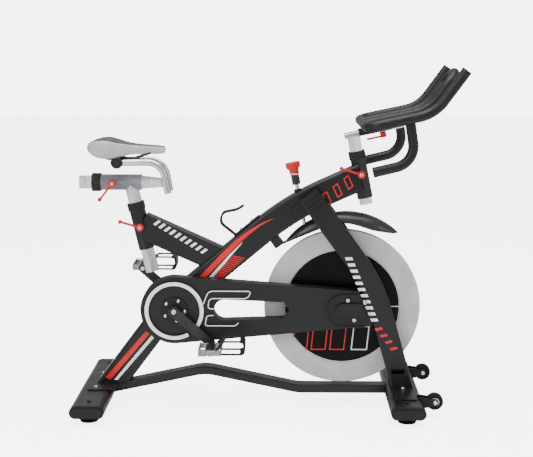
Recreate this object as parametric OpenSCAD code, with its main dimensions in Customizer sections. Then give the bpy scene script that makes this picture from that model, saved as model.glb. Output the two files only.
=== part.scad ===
// Indoor cycling bike: a bent main beam on two wide stabilisers, a flywheel between two fork legs,
// a belt drive on the right side, and a saddle and a handlebar that slide and clamp.
// Millimetres. X points forward, Y to the rider's left, Z up. The origin is on the floor,
// under the middle of the bike.

/* [Base] */
// Distance between the two stabiliser centre lines
base_length = 999; // [940:1:1240]
// Length of each stabiliser across the bike, over its end caps
base_width = 545; // [440:1:680]
// Width of the flat-oval stabiliser tube
stab_w = 110; // [90:1:135]
// Height of the flat-oval stabiliser tube
stab_h = 39; // [32:1:48]
// Gap between the floor and the stabiliser tube
stab_lift = 22; // [18:1:28]
// Diameter of a levelling foot
foot_d = 60; // [48:1:74]
// Diameter of a transport wheel
wheel_d = 54; // [44:1:64]

/* [Frame] */
// Depth of the main beam
beam_h = 84; // [70:1:100]
// Width of the main beam
beam_w = 60; // [52:1:66]
// Depth of the seat beam
seat_beam_h = 86; // [70:1:104]
// Wall of the frame tubes
tube_t = 2.5; // [1.5:0.1:3.5]
// Width of the hexagonal seat and head tubes over their flats
hex_tube_w = 48; // [44:1:58]
// Width of the hexagonal posts and of the seat slider over their flats
hex_post_w = 40; // [33:0.5:41]
// Lean of the seat tube
seat_lean = 13; // [9:0.5:17]
// Lean of the head tube
head_lean = 11.5; // [8:0.5:15]
// Width of a fork leg seen from the side
leg_w = 70; // [60:1:84]
// Thickness of a fork leg
leg_t = 30; // [24:1:36]

/* [Drive] */
// Height of the crank axle over the floor
crank_z = 322; // [310:1:345]
// Length of a crank between its axles
crank_l = 160; // [140:1:175]
// Angle of the right crank below level, at rest
crank_angle = 41; // [0:1:80]
// Outer diameter of the flywheel
flywheel_d = 509; // [430:1:512]
// Width of the flywheel rim
flywheel_w = 28; // [22:1:36]
// Diameter of the drive pulley
drive_pulley_d = 168; // [140:1:182]
// Diameter of the flywheel pulley
small_pulley_d = 64; // [54:1:72]
// Width of the belt
belt_w = 16; // [12:1:18]
// Diameter of the crank axle
crank_axle_d = 17; // [15:1:20]
// Diameter of the flywheel axle
wheel_axle_d = 12; // [10:1:15]

/* [Contact points] */
// Length of the saddle
saddle_l = 263; // [230:1:290]
// Width of the saddle
saddle_w = 158; // [140:1:200]
// Diameter of the padded handlebar tube
bar_d = 32; // [28:1:36]
// Distance between the two outer bars, centre to centre
bar_spread = 396; // [340:1:440]
// Diameter of the pedal axle's threaded end
spindle_d = 14; // [12:1:16]

/* [Clearances] */
// Gap each side between a sliding hexagonal post and its bush
slide_gap = 0.3; // [0.2:0.05:0.6]
// Radial clearance of a turning fit
run_gap = 0.05; // [0.02:0.01:0.1]
// Gap between curved faces of separate moving pieces
part_gap = 0.4; // [0.3:0.05:1]

/* [Hidden] */
$fn = 48;

// Small step that lets a cut run clear of a face
eps = 1;
// How far welded pieces run into each other, and the gap left where separate pieces meet
overlap = 0.5;
touch_gap = 0.02;
// Length of the joint ring between a run and a bend, and how much larger than its section it is
weld_l = 1.2;
weld_rise = 1.004;
// Colours
frame_black = "#262626";
satin_black = "#303030";
silver = "#d8d8d8";
sleeve_grey = "#b8b8b8";
red = "#e02020";

// Stabiliser places
base_mid_x = -58.5;
rear_x = base_mid_x - base_length / 2;
front_x = base_mid_x + base_length / 2;
stab_top = stab_lift + stab_h;
cap_l = 22;
plate_t = 4;
foot_y = base_width / 2 - 60;
foot_stud_d = 10;
foot_h = 9;

// Main beam centre line in the XZ plane: foot, lower knee, upper knee, head
beam_foot = [rear_x + 44, stab_top];
beam_knee = [-323, crank_z - 6];
beam_bend = [75, 649];
head_mid = [301.4, 750];
beam_path = [beam_foot, beam_knee, beam_bend, head_mid];
beam_radii = [0, 600, 900, 0];
beam_r = 9;

// Head tube and handlebar post, along the leaning axis through head_mid
head_len = 141;
head_post_top = 128;
head_post_bottom = -91;
collar_h = 25;
collar_t = 2.5;

// Seat tube and seat post, along the leaning axis through seat_mid
seat_mid = [-408.5, 582.5];
seat_len = 143;
seat_post_bottom = -149;
seat_beam_w = 50;
seat_beam_drop = 24.4;

// Seat slider: a hexagonal tube in a sleeve, level
slider_z = 729.5;
sleeve_x0 = -537;
sleeve_x1 = -406;
sleeve_cap_l = 28;
slider_x0 = -606;
slider_front = -400;
nose_x = -331;
nose_h = 24;
support_d = 22;
support_y = 35;
clamp_x = -479;
saddle_z = 800;

// Drive line across the bike
crank_x = -299;
axle_x = 244;
axle_z = crank_z + 1;
leg_gap = 36;
leg_in = leg_gap;
leg_out = leg_gap + leg_t;
belt_y = -48;
guard_face = -leg_out - 6;
guard_back = -beam_w / 2 - 1;
guard_t = 2.5;
guard_r = 110;
belt_t = 4;
shell_d = 46;
shell_l = beam_w + 8;
bearing_d = 40;
bearing_w = 12;
crank_in = -guard_face + 13;
crank_t = 15;
pedal_in = crank_in + crank_t + 6;
pedal_l = 96;
pedal_w = 74;
pedal_h = 24;

// Brake and knob, along an axis parallel to the head tube
knob_foot = [99, 700];
leaf_pivot = [30, 527];
leaf_l = 192;
block_l = 30;
block_x0 = -9;
block_w = 48;
block_low = 8;
block_angle = 35;
leaf_pin_d = 6;
leaf_eye_d = 12;

// Handlebar centre lines in the XZ plane
bar_back = [306, 920];
bar_knee = [506, 962.5];
bar_tip = [600, 1092];
bar_bend_r = 120;
bar_tilt = atan2(bar_knee[1] - bar_back[1], bar_knee[0] - bar_back[0]);
inner_y = 50;
drop_y = 180;
drop_path = [[436, 932], [455, 813], [325, 782]];
drop_radii = [0, 65, 0];
rail_h = 17;
rail_w = 46;

// ---------- helpers ----------

// Rectangle with round corners, centred
module rounded_rect(w, h, r) {
    square([w - 2 * r, h], center = true);
    square([w, h - 2 * r], center = true);
    for (sx = [-1, 1], sy = [-1, 1])
        translate([sx * (w / 2 - r), sy * (h / 2 - r)])
            circle(r);
}

// Hexagon of a given width over flats, with its corners at the two sides
module hexagon(w) {
    circle(r = w / sqrt(3), $fn = 6);
}

// Hexagonal ring
module hexagon_ring(w, wall) {
    difference() {
        hexagon(w);
        hexagon(w - 2 * wall);
    }
}

// Puts a section (x across the bike, y up) on a run along +X
module run(l) {
    rotate([90, 0, 90])
        linear_extrude(l)
            children();
}

// Places children at a point of the XZ plane, with +X turned up by an angle
module at(p, angle = 0) {
    translate([p[0], 0, p[1]])
        rotate([0, -angle, 0])
            children();
}

// Places children on an axis that leans back from upright, +Z along the axis
module lean(p, angle) {
    translate([p[0], 0, p[1]])
        rotate([0, -angle, 0])
            children();
}

function heading(p, q) = atan2(q[1] - p[1], q[0] - p[0]);
function turn(pts, i) = heading(pts[i], pts[i + 1]) - heading(pts[i - 1], pts[i]);
function wrapped(a) = a > 180 ? a - 360 : (a < -180 ? a + 360 : a);
function inner_point(pts, i) = i > 0 && i < len(pts) - 1;
function tangent(pts, radii, i) =
    inner_point(pts, i) ? radii[i] * tan(abs(wrapped(turn(pts, i))) / 2) : 0;

// A bend that starts along +X and turns up (or down when the angle is negative)
module bend(angle, r) {
    if (angle > 0)
        rotate([90, 90, 0])
            rotate_extrude(angle = angle)
                translate([r, 0])
                    rotate(90)
                        children();
    else
        rotate([-90, -90, 0])
            rotate_extrude(angle = -angle)
                translate([r, 0])
                    rotate(-90)
                        children();
}

// Bend with its start point at the origin
module placed_bend(angle, r) {
    translate([0, 0, angle > 0 ? r : -r])
        bend(angle, r)
            children();
}

// Sweeps a section along a polyline in the XZ plane, with a bend at each inner point
module bent_tube(pts, radii, over = 0) {
    last = len(pts) - 2;
    for (i = [0:last]) {
        a = heading(pts[i], pts[i + 1]);
        t0 = tangent(pts, radii, i) - (i == 0 ? over : 0);
        t1 = tangent(pts, radii, i + 1) - (i == last ? over : 0);
        at(pts[i], a)
            translate([t0, 0, 0])
                run(norm(pts[i + 1] - pts[i]) - t0 - t1)
                    children();
    }
    for (i = [1:1:last]) {
        a = heading(pts[i - 1], pts[i]);
        t = tangent(pts, radii, i);
        at(pts[i], a)
            translate([-t, 0, 0]) {
                placed_bend(wrapped(turn(pts, i)), radii[i])
                    children();
                weld_ring()
                    children();
            }
        at(pts[i], heading(pts[i], pts[i + 1]))
            translate([t, 0, 0])
                weld_ring()
                    children();
    }
}

// Thin ring, a hair proud of the section, that joins a straight run to a bend
module weld_ring() {
    translate([-weld_l / 2, 0, 0])
        run(weld_l)
            scale([weld_rise, weld_rise])
                children();
}

// Cylinder across the bike, between two Y values
module cross_cyl(x, z, d, y0, y1, fn = 48) {
    translate([x, max(y0, y1), z])
        rotate([90, 0, 0])
            cylinder(d = d, h = abs(y1 - y0), $fn = fn);
}

// Extrudes an outline of the XZ plane between two Y values
module side_plate(y0, y1) {
    translate([0, max(y0, y1), 0])
        rotate([90, 0, 0])
            linear_extrude(abs(y1 - y0))
                children();
}

// Hexagon-headed bolt along +Z, its head above the origin
module bolt_head(d, h) {
    cylinder(d = d, h = h * 0.6);
    translate([0, 0, h * 0.6])
        cylinder(d1 = d, d2 = d * 0.7, h = h * 0.4);
}

// Children on both sides of the middle plane
module both_sides() {
    children();
    mirror([0, 1, 0])
        children();
}

// ---------- frame ----------

module beam_section(shrink = 0) {
    rounded_rect(beam_w - 2 * shrink, beam_h - 2 * shrink, beam_r - shrink);
}

module stud_boss_space(mid, angle, stud_z) {
    lean(mid, angle)
        translate([0, 0, stud_z])
            rotate([90, 0, 0])
                cylinder(d = stud_boss_d + 2 * touch_gap, h = beam_w);
}

module head_tube_space() {
    lean(head_mid, head_lean)
        translate([0, 0, -head_len])
            linear_extrude(2 * head_len)
                rotate(90)
                    hexagon(hex_tube_w);
}

module main_beam() {
    color(frame_black)
        difference() {
            bent_tube(beam_path, beam_radii, 40)
                beam_section();
            bent_tube(beam_path, beam_radii, 60)
                beam_section(tube_t);
            // cut level on the foot box
            translate([beam_foot[0] - 200, -beam_w, stab_top + plate_t - 200])
                cube([400, 2 * beam_w, 200]);
            at(rail_path[0], heading(rail_path[0], rail_path[1]))
                translate([-eps, -beam_w, -100])
                    cube([200, 2 * beam_w, 100 + rail_sec_h / 2 + touch_gap]);
            // mitre on the head tube, with room for its stud boss
            head_tube_space();
            stud_boss_space(head_mid, head_lean, head_stud_z);
            lean(head_mid, head_lean)
                translate([-3, -beam_w, -100])
                    cube([100, 2 * beam_w, 200]);
            cross_cyl(crank_x, crank_z, shell_d, -beam_w, beam_w);
            brake_rod_bore();
        }
}

// Hole for the brake rod through the beam, wider at the top where the knob's housing sits
module brake_rod_bore() {
    lean(knob_foot, head_lean) {
        translate([0, 0, -2 * beam_h])
            cylinder(d = rod_d + 4, h = 3 * beam_h);
        translate([0, 0, -housing_low])
            cylinder(d = housing_d + 2 * touch_gap, h = beam_h);
    }
}

module seat_beam() {
    start = [seat_mid[0] + 2, seat_mid[1] + 8];
    end = [-150, start[1] - (-150 - start[0]) * tan(seat_beam_drop)];
    color(frame_black)
        difference() {
            bent_tube([start, end], [0, 0])
                rounded_rect(seat_beam_w, seat_beam_h, 7);
            bent_tube([start, end], [0, 0], eps)
                rounded_rect(seat_beam_w - 2 * tube_t, seat_beam_h - 2 * tube_t, 7 - tube_t);
            lean(seat_mid, seat_lean)
                translate([0, 0, -seat_len])
                    linear_extrude(2 * seat_len)
                        rotate(90)
                            hexagon(hex_tube_w);
            lean(seat_mid, seat_lean)
                translate([-100, -50, -200])
                    cube([100, 100, 400]);
            stud_boss_space(seat_mid, seat_lean, seat_stud_z);
            // mitre on the main beam
            bent_tube(beam_path, beam_radii, 40)
                square([beam_w + 20, beam_h], center = true);
            at([-150, 500], 40)
                translate([-120, -50, -160])
                    cube([300, 100, 120]);
        }
}

// Leaning hexagonal tube with a bore for its clamp stud
module clamp_tube(mid, angle, l, stud_z) {
    lean(mid, angle)
        difference() {
            union() {
                translate([0, 0, -l / 2])
                    linear_extrude(l)
                        rotate(90)
                            hexagon(hex_tube_w);
                translate([0, -stud_boss_y, stud_z])
                    rotate([-90, 0, 0])
                        cylinder(d = stud_boss_d, h = stud_boss_y);
            }
            translate([0, 0, -l / 2 - eps])
                linear_extrude(l + 2 * eps)
                    rotate(90)
                        hexagon(hex_tube_w - 2 * tube_t);
            translate([0, 0, stud_z])
                rotate([90, 0, 0])
                    cylinder(d = stud_d + 2 * run_gap, h = stud_boss_y + eps);
        }
}

stud_d = 12;
stud_boss_d = 22;
stud_boss_y = hex_tube_w / sqrt(3) + 5;
seat_stud_z = 5;
head_stud_z = 9.5;

module seat_tube() {
    color(frame_black)
        clamp_tube(seat_mid, seat_lean, seat_len, seat_stud_z);
}

module head_tube() {
    color(frame_black)
        clamp_tube(head_mid, head_lean, head_len, head_stud_z);
}

// Plastic bush: a cap over the tube's top with a sleeve down inside
module collar(mid, angle, l) {
    lean(mid, angle)
        difference() {
            union() {
                translate([0, 0, l / 2 - collar_h / 2])
                    linear_extrude(collar_h)
                        rotate(90)
                            hexagon(hex_tube_w + 2 * collar_t);
            }
            translate([0, 0, l / 2 - collar_h / 2 - eps])
                linear_extrude(collar_h / 2 + eps)
                    rotate(90)
                        hexagon_ring(hex_tube_w + 0.02, tube_t + 0.02);
            translate([0, 0, l / 2 - collar_h])
                linear_extrude(2 * collar_h)
                    rotate(90)
                        hexagon(hex_post_w + 2 * slide_gap);
        }
}

module tube_collars() {
    color(satin_black) {
        collar(seat_mid, seat_lean, seat_len);
        collar(head_mid, head_lean, head_len);
    }
}

module bb_shell() {
    color(frame_black)
        difference() {
            cross_cyl(crank_x, crank_z, shell_d, -shell_l / 2, shell_l / 2);
            cross_cyl(crank_x, crank_z, bearing_d - 6, -shell_l, shell_l);
            both_sides()
                cross_cyl(crank_x, crank_z, bearing_d, shell_l / 2 - bearing_w, shell_l / 2 + eps);
        }
}

// Fork leg centre line in the XZ plane: top end, knee, foot
leg_path = [[132, 693], [342, 407], [front_x, stab_top + plate_t]];
leg_radii = [0, 500, 0];

module leg_section(shrink = 0) {
    rounded_rect(leg_t - 2 * shrink, leg_w - 2 * shrink, 6 - shrink);
}

dropout_t = 8;
plate_inset = 0.3;

// Plate that carries the flywheel axle, behind the leg
module dropout_outline() {
    difference() {
        hull() {
            translate([axle_x, axle_z])
                circle(26);
            translate([axle_x + 100, axle_z + 30])
                circle(14);
            translate([axle_x + 118, axle_z - 40])
                circle(14);
        }
        // open slot that lets the axle be pulled back to tighten the belt
        translate([axle_x, axle_z])
            circle(d = wheel_axle_d + 0.2);
    }
}

window_w = 42;
window_h = 17;
window_rise = 54;
panel_depth = 1.2;
panel_margin = 10;

// Point of the leg's centre line at a height above its foot
function leg_x(rise) = leg_path[2][0]
    - rise * (leg_path[2][0] - leg_path[1][0]) / (leg_path[1][1] - leg_path[2][1]);

module leg_cutters() {
    // level end on the stabiliser plate
    translate([front_x - 200, 0, stab_top + plate_t - 200])
        cube([400, 2 * leg_out, 200]);
    // oblong window through the outer wall
    translate([leg_x(window_rise) - window_w / 2, leg_out - 4, leg_path[2][1] + window_rise - window_h / 2])
        cube([window_w, 8, window_h]);
    // shallow panel below the window
    side_plate(leg_out - panel_depth, leg_out + eps)
        polygon([
            [leg_x(-10) - leg_w / 2 + panel_margin, leg_path[2][1] - 10],
            [leg_x(-10) + leg_w / 2 - panel_margin, leg_path[2][1] - 10],
            [leg_x(window_rise - window_h) + leg_w / 2 - panel_margin, leg_path[2][1] + window_rise - window_h],
            [leg_x(window_rise - window_h) - leg_w / 2 + panel_margin, leg_path[2][1] + window_rise - window_h]
        ]);
}

module leg_shape() {
    toe = leg_path[2] + (leg_path[2] - leg_path[1]) * 0.1;
    translate([0, leg_in + leg_t / 2, 0])
        bent_tube([leg_path[0], leg_path[1], toe], leg_radii)
            leg_section();
}

module leg_hollow() {
    translate([0, leg_in + leg_t / 2, 0])
        bent_tube(leg_path, leg_radii, 60)
            leg_section(tube_t);
}

// Stepped cap that closes the leg's top end
module leg_cap() {
    a = heading(leg_path[0], leg_path[1]);
    at(leg_path[0], a)
        translate([0, leg_in, 0]) {
            translate([-4, 0, -leg_w / 2 + 3])
                cube([4 + overlap, leg_t, leg_w - 6]);
            for (i = [0:2])
                translate([14 + 17 * i, leg_t - overlap, -leg_w / 2 + 6])
                    cube([13, 3.5 - i + overlap, leg_w - 12]);
        }
}

// Spacer plate between the beam's side and the leg
module gusset() {
    a = heading(leg_path[0], leg_path[1]);
    side_plate(beam_w / 2 + touch_gap, leg_in + overlap)
        intersection() {
            translate(leg_path[0])
                rotate(a)
                    translate([4, -leg_w / 2 - 38])
                        square([72, leg_w + 30]);
            gusset_reach();
        }
}

module gusset_reach() {
    hull() {
        translate([leg_path[0][0] - 70, leg_path[0][1] - 62])
            circle(12);
        translate([leg_path[0][0] + 10, leg_path[0][1] + 5])
            circle(24);
        translate([leg_path[0][0] + 52, leg_path[0][1] - 32])
            circle(20);
    }
}

module fork_leg() {
    difference() {
        union() {
            leg_shape();
            side_plate(leg_out - dropout_t, leg_out - plate_inset)
                difference() {
                    dropout_outline();
                    translate([axle_x + 96, axle_z - 100])
                        square([100, 200]);
                }
        }
        leg_hollow();
        leg_cutters();
    }
    leg_cap();
    gusset();
}

module fork_leg_left() {
    color(frame_black)
        fork_leg();
}

module fork_leg_right() {
    color(frame_black)
        mirror([0, 1, 0])
            fork_leg();
}

// Bent floor rail from the rear foot box to the front stabiliser, with the foot box
rail_sec_w = 52;
rail_sec_h = 28;
rail_z = stab_top - rail_sec_h / 2 - 1.5;
rail_path = [
    [rear_x + stab_w / 2 - 4, rail_z],
    [-204, 110],
    [100, rail_z],
    [front_x - stab_w / 2 + 4, rail_z]
];
rail_radii = [0, 140, 160, 0];

module base_rail() {
    color(frame_black) {
        difference() {
            bent_tube(rail_path, rail_radii, 0)
                rounded_rect(rail_sec_w, rail_sec_h, 5);
            bent_tube(rail_path, rail_radii, eps)
                rounded_rect(rail_sec_w - 2 * tube_t, rail_sec_h - 2 * tube_t, 3);
            stabiliser_tube(rear_x, true);
            stabiliser_tube(front_x, true);
        }
        // top plates
        translate([rear_x + rear_plate_dx, 0, stab_top + touch_gap])
            linear_extrude(plate_t - 2 * touch_gap)
                cut_corners(rear_plate_w, rear_plate_l, 5);
        translate([front_x, 0, stab_top + touch_gap])
            linear_extrude(plate_t - 2 * touch_gap)
                cut_corners(front_plate_w, front_plate_l, 5);
    }
}

rear_plate_w = 88;
rear_plate_dx = 19;
rear_plate_l = 200;
front_plate_w = 68;
front_plate_l = 380;

// Rectangle with its corners cut at 45 degrees
module cut_corners(w, l, c) {
    polygon([
        [-w / 2, -l / 2 + c], [-w / 2 + c, -l / 2], [w / 2 - c, -l / 2], [w / 2, -l / 2 + c],
        [w / 2, l / 2 - c], [w / 2 - c, l / 2], [-w / 2 + c, l / 2], [-w / 2, l / 2 - c]
    ]);
}

module oval(w, h) {
    square([w - h, h], center = true);
    for (s = [-1, 1])
        translate([s * (w - h) / 2, 0])
            circle(d = h);
}

module stabiliser_tube(x, solid = false) {
    l = base_width - 2 * cap_l;
    translate([x, l / 2, stab_lift + stab_h / 2])
        rotate([90, 0, 0])
            linear_extrude(l)
                difference() {
                    oval(stab_w, stab_h);
                    if (!solid)
                        oval(stab_w - 2 * tube_t, stab_h - 2 * tube_t);
                }
}

module foot_bores(x) {
    for (s = [-1, 1])
        translate([x, s * foot_y, 0])
            cylinder(d = foot_stud_d + 2 * run_gap, h = stab_top + 10);
}

module rear_stabiliser() {
    color(frame_black)
        difference() {
            stabiliser_tube(rear_x);
            foot_bores(rear_x);
        }
}

module front_stabiliser() {
    color(frame_black)
        difference() {
            stabiliser_tube(front_x);
            foot_bores(front_x);
        }
}

// End cap: a rounded shell outside and a plug inside the tube
module stabiliser_cap(x) {
    y0 = base_width / 2 - cap_l;
    translate([x, y0, stab_lift + stab_h / 2])
        rotate([-90, 0, 0]) {
            linear_extrude(cap_l - 6)
                oval(stab_w, stab_h);
            translate([0, 0, cap_l - 6])
                linear_extrude(4)
                    oval(stab_w - 3, stab_h - 3);
            translate([0, 0, cap_l - 2])
                linear_extrude(2)
                    oval(stab_w - 9, stab_h - 9);
            translate([0, 0, -24])
                linear_extrude(24)
                    difference() {
                        oval(stab_w - 2 * tube_t - 0.4, stab_h - 2 * tube_t - 0.4);
                        oval(stab_w - 2 * tube_t - 5, stab_h - 2 * tube_t - 5);
                    }
        }
}

module stabiliser_caps() {
    color(satin_black)
        both_sides() {
            stabiliser_cap(rear_x);
            stabiliser_cap(front_x);
        }
}

// Levelling foot: rubber disc on a threaded stud
module levelling_foot(x, side) {
    color(satin_black)
        translate([x, side * foot_y, 0]) {
            cylinder(d1 = foot_d - 4, d2 = foot_d, h = foot_h - 3);
            translate([0, 0, foot_h - 3])
                cylinder(d1 = foot_d, d2 = foot_d * 0.62, h = 3);
            translate([0, 0, foot_h])
                cylinder(d = 26, h = 6, $fn = 6);
            cylinder(d = foot_stud_d, h = stab_top + plate_t);
        }
}

module foot_rear_right() {
    levelling_foot(rear_x, -1);
}

module foot_rear_left() {
    levelling_foot(rear_x, 1);
}

module foot_front_right() {
    levelling_foot(front_x, -1);
}

module foot_front_left() {
    levelling_foot(front_x, 1);
}

// Transport wheels ahead of the front stabiliser
wheel_w = 24;
wheel_y = base_width / 2 - 112;
wheel_x = front_x + stab_w / 2 + 37;
wheel_z = 51;
wheel_bolt_d = 8;
fin_t = 5;

module wheel_bracket(side) {
    translate([0, side * wheel_y, 0])
        for (s = [-1, 1])
            side_plate(s * (wheel_w / 2 + 1.5), s * (wheel_w / 2 + 1.5 + fin_t))
                difference() {
                    hull() {
                        translate([wheel_x, wheel_z])
                            circle(11);
                        translate([front_x + stab_w / 2 - 8, stab_top - 6])
                            circle(12);
                        translate([front_x + stab_w / 2 - 8, stab_lift + 14])
                            circle(6);
                    }
                    translate([front_x + (stab_w - stab_h) / 2, stab_lift + stab_h / 2])
                        circle(d = stab_h);
                    translate([front_x + (stab_w - stab_h) / 2 - 40, stab_lift])
                        square([40, stab_h]);
                    translate([wheel_x, wheel_z])
                        circle(d = wheel_bolt_d + 0.1);
                }
}

module wheel_brackets() {
    color(satin_black) {
        wheel_bracket(-1);
        wheel_bracket(1);
    }
}

module transport_wheel(side) {
    color(satin_black)
        translate([wheel_x, side * wheel_y, wheel_z])
            rotate([90, 0, 0])
                difference() {
                    union() {
                        cylinder(d = wheel_d - 6, h = wheel_w, center = true);
                        cylinder(d = wheel_d, h = wheel_w - 6, center = true);
                    }
                    cylinder(d = wheel_bolt_d + 2 * part_gap, h = wheel_w + 2, center = true);
                    for (s = [-1, 1])
                        translate([0, 0, s * (wheel_w / 2)])
                            difference() {
                                cylinder(d = wheel_d - 16, h = 6, center = true);
                                cylinder(d = 20, h = 8, center = true);
                            }
                }
}

module transport_wheel_right() {
    transport_wheel(-1);
}

module transport_wheel_left() {
    transport_wheel(1);
}

// Bottle cage: a base strip on the beam's upper side and a band bent into a hook
cage_foot = [-64, 588];
cage_angle = 40;
cage_w = 26;
cage_t = 4;
cage_path = [[-103, 558], [-155, 598], [-146, 634], [-96, 641], [-76, 656]];
cage_radii = [0, 22, 20, 12, 0];

module bottle_cage() {
    color(satin_black) {
        at(cage_foot, cage_angle)
            translate([-54, -cage_w / 2 - 2, touch_gap])
                cube([104, cage_w + 4, cage_t]);
        bent_tube(cage_path, cage_radii)
            square([cage_w, cage_t], center = true);
    }
}

// Sweat guard over the flywheel: a leaf-shaped half tube, pointed at both ends
fender_mid = [254, 394];
fender_r = 244;
fender_t = 3;
arch_r = 46;
fender_back = 72;
fender_front = 424;
fender_neck = 32;
fender_half = 45;
fender_bar_x = 200;
fender_bar_z = 614;
tongue_z = 541;

module fender_plan() {
    hull() {
        translate([fender_back, 0])
            circle(8);
        translate([222, 0])
            circle(fender_neck);
    }
    hull() {
        translate([222, 0])
            circle(fender_neck);
        translate([305, 0])
            scale([1.2, 1])
                circle(fender_half);
        translate([fender_front, 0])
            circle(9);
    }
}

// Cross section of the leaf, high in the middle and low at its edges
module fender_arch() {
    translate([fender_r - arch_r, 0])
        difference() {
            circle(arch_r, $fn = 72);
            circle(arch_r - fender_t, $fn = 72);
            translate([-2 * arch_r, -2 * arch_r])
                square([2 * arch_r + 2, 4 * arch_r]);
        }
}

module fender() {
    color(satin_black)
        difference() {
            union() {
                intersection() {
                    translate([fender_mid[0], 0, fender_mid[1]])
                        rotate([90, 0, 0])
                            rotate_extrude(angle = 180)
                                fender_arch();
                    translate([0, 0, 500])
                        linear_extrude(200)
                            fender_plan();
                }
                // bar between the legs and tongue on the brake block
                translate([fender_bar_x, -leg_in + touch_gap, fender_bar_z])
                    cube([20, 2 * leg_in - 2 * touch_gap, 6]);
                translate([40, -8, tongue_z])
                    cube([28, 16, 4]);
            }
            at(leaf_pivot, block_angle)
                translate([block_x0 - 20, -block_w, -block_w])
                    cube([block_l + 20 + touch_gap, 2 * block_w, 2 * block_w]);
            lean(knob_foot, head_lean)
                translate([0, 0, -2 * beam_h])
                    cylinder(d = rod_d + 6, h = 2 * beam_h);
        }
}

// ---------- brake ----------

rod_d = 12;
rod_gap = 0.6;
housing_d = 26;
housing_low = 24;
housing_high = 8;

// Block under the beam that carries the brake leaf's pin between two cheeks
module brake_block() {
    a = heading(beam_path[1], beam_path[2]);
    bend_start = beam_bend - tangent(beam_path, beam_radii, 2) * [cos(a), sin(a)];
    bend_mid = bend_start + beam_radii[2] * [sin(a), -cos(a)];
    color(satin_black) {
        intersection() {
            difference() {
                at(leaf_pivot, block_angle)
                    translate([block_x0, -block_w / 2, -block_low])
                        cube([block_l, block_w, beam_h]);
                at(leaf_pivot, block_angle)
                    translate([-block_l, -leaf_w / 2 - part_gap, -2 * block_low])
                        cube([2 * block_l, leaf_w + 2 * part_gap, 3 * block_low + 2]);
            }
            cross_cyl(bend_mid[0], bend_mid[1], 2 * beam_radii[2] - beam_h - 2 * touch_gap,
                -block_w, block_w, 720);
        }
        cross_cyl(leaf_pivot[0], leaf_pivot[1], leaf_pin_d, -block_w / 2 + overlap, block_w / 2 - overlap);
    }
}

// Guide of the rod: a collar above the beam and a bush inside its upper wall
module knob_housing() {
    color(satin_black)
        lean(knob_foot, head_lean)
            difference() {
                translate([0, 0, -housing_low + touch_gap])
                    cylinder(d = housing_d, h = housing_low + housing_high);
                translate([0, 0, -housing_low - eps])
                    cylinder(d = rod_d + 2 * run_gap, h = housing_low + housing_high + 3 * eps);
            }
}

module brake_rod() {
    color(silver)
        lean(knob_foot, head_lean)
            translate([0, 0, -rod_reach])
                cylinder(d = rod_d, h = rod_reach + 60);
}

module brake_knob() {
    color(red)
        lean(knob_foot, head_lean)
            difference() {
                union() {
                    translate([0, 0, 24])
                        cylinder(d = 27, h = 34);
                    translate([0, 0, 58])
                        cylinder(d = 32, h = 8);
                    translate([0, 0, 66])
                        cylinder(d1 = 30, d2 = 36, h = 12);
                    translate([0, 0, 78])
                        cylinder(d1 = 46, d2 = 48, h = 18);
                }
                translate([0, 0, 20])
                    cylinder(d = rod_d + 2 * run_gap, h = 42);
            }
}

leaf_t = 3;
leaf_w = 34;
leaf_angle = 22.5;
leaf_low = -5;
pad_l = 40;
pad_gap = 4;
// Distance from the knob's foot, along its axis, to the leaf's upper face, less a small gap
leaf_n = [-sin(leaf_angle), cos(leaf_angle)];
rod_dir = [sin(head_lean), -cos(head_lean)];
rod_reach = ((leaf_pivot - knob_foot) * leaf_n + leaf_low + leaf_t) / (rod_dir * leaf_n)
    - (rod_gap + rod_d / 2 * tan(leaf_angle - head_lean));

module brake_leaf() {
    color(satin_black)
        difference() {
            union() {
                at(leaf_pivot, leaf_angle)
                    translate([leaf_eye_d / 3, -leaf_w / 2 + overlap, leaf_low])
                        cube([leaf_l - leaf_eye_d / 3, leaf_w - 2 * overlap, leaf_t]);
                cross_cyl(leaf_pivot[0], leaf_pivot[1], leaf_eye_d, -leaf_w / 2, leaf_w / 2);
            }
            cross_cyl(leaf_pivot[0], leaf_pivot[1], leaf_pin_d + 2 * run_gap, -leaf_w, leaf_w);
        }
}

module brake_pad() {
    color("#7a5c3c")
        difference() {
            at(leaf_pivot, leaf_angle)
                translate([leaf_l - pad_l - 2, -leaf_w / 2 + 2, leaf_low - 18])
                    cube([pad_l, leaf_w - 4, 18 - touch_gap]);
            cross_cyl(axle_x, axle_z, flywheel_d + 2 * pad_gap, -leaf_w, leaf_w, 360);
        }
}

// ---------- belt guard ----------

guard_path_end_top = [296, 386];
guard_path_end_bottom = [338, 272];

// Whole outline of the guard seen from the side
module guard_outline(shrink = 0) {
    offset(delta = -shrink)
        hull() {
            translate([crank_x, crank_z])
                circle(guard_r, $fn = 96);
            polygon([[crank_x + 50, crank_z], guard_path_end_top, guard_path_end_bottom]);
        }
}

slot_x0 = crank_x + 128;
slot_x1 = 72;

// Window between the two runs of the belt
module guard_window(grow = 0) {
    offset(delta = grow)
        polygon(concat(
            [for (a = [90:12:270]) [slot_x0 + 34 + 34 * cos(a), crank_z + 2 + 34 * sin(a)]],
            [[slot_x1 - 18, crank_z - 26], [slot_x1, crank_z - 2], [slot_x1 - 18, crank_z + 28]]
        ));
}

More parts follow.
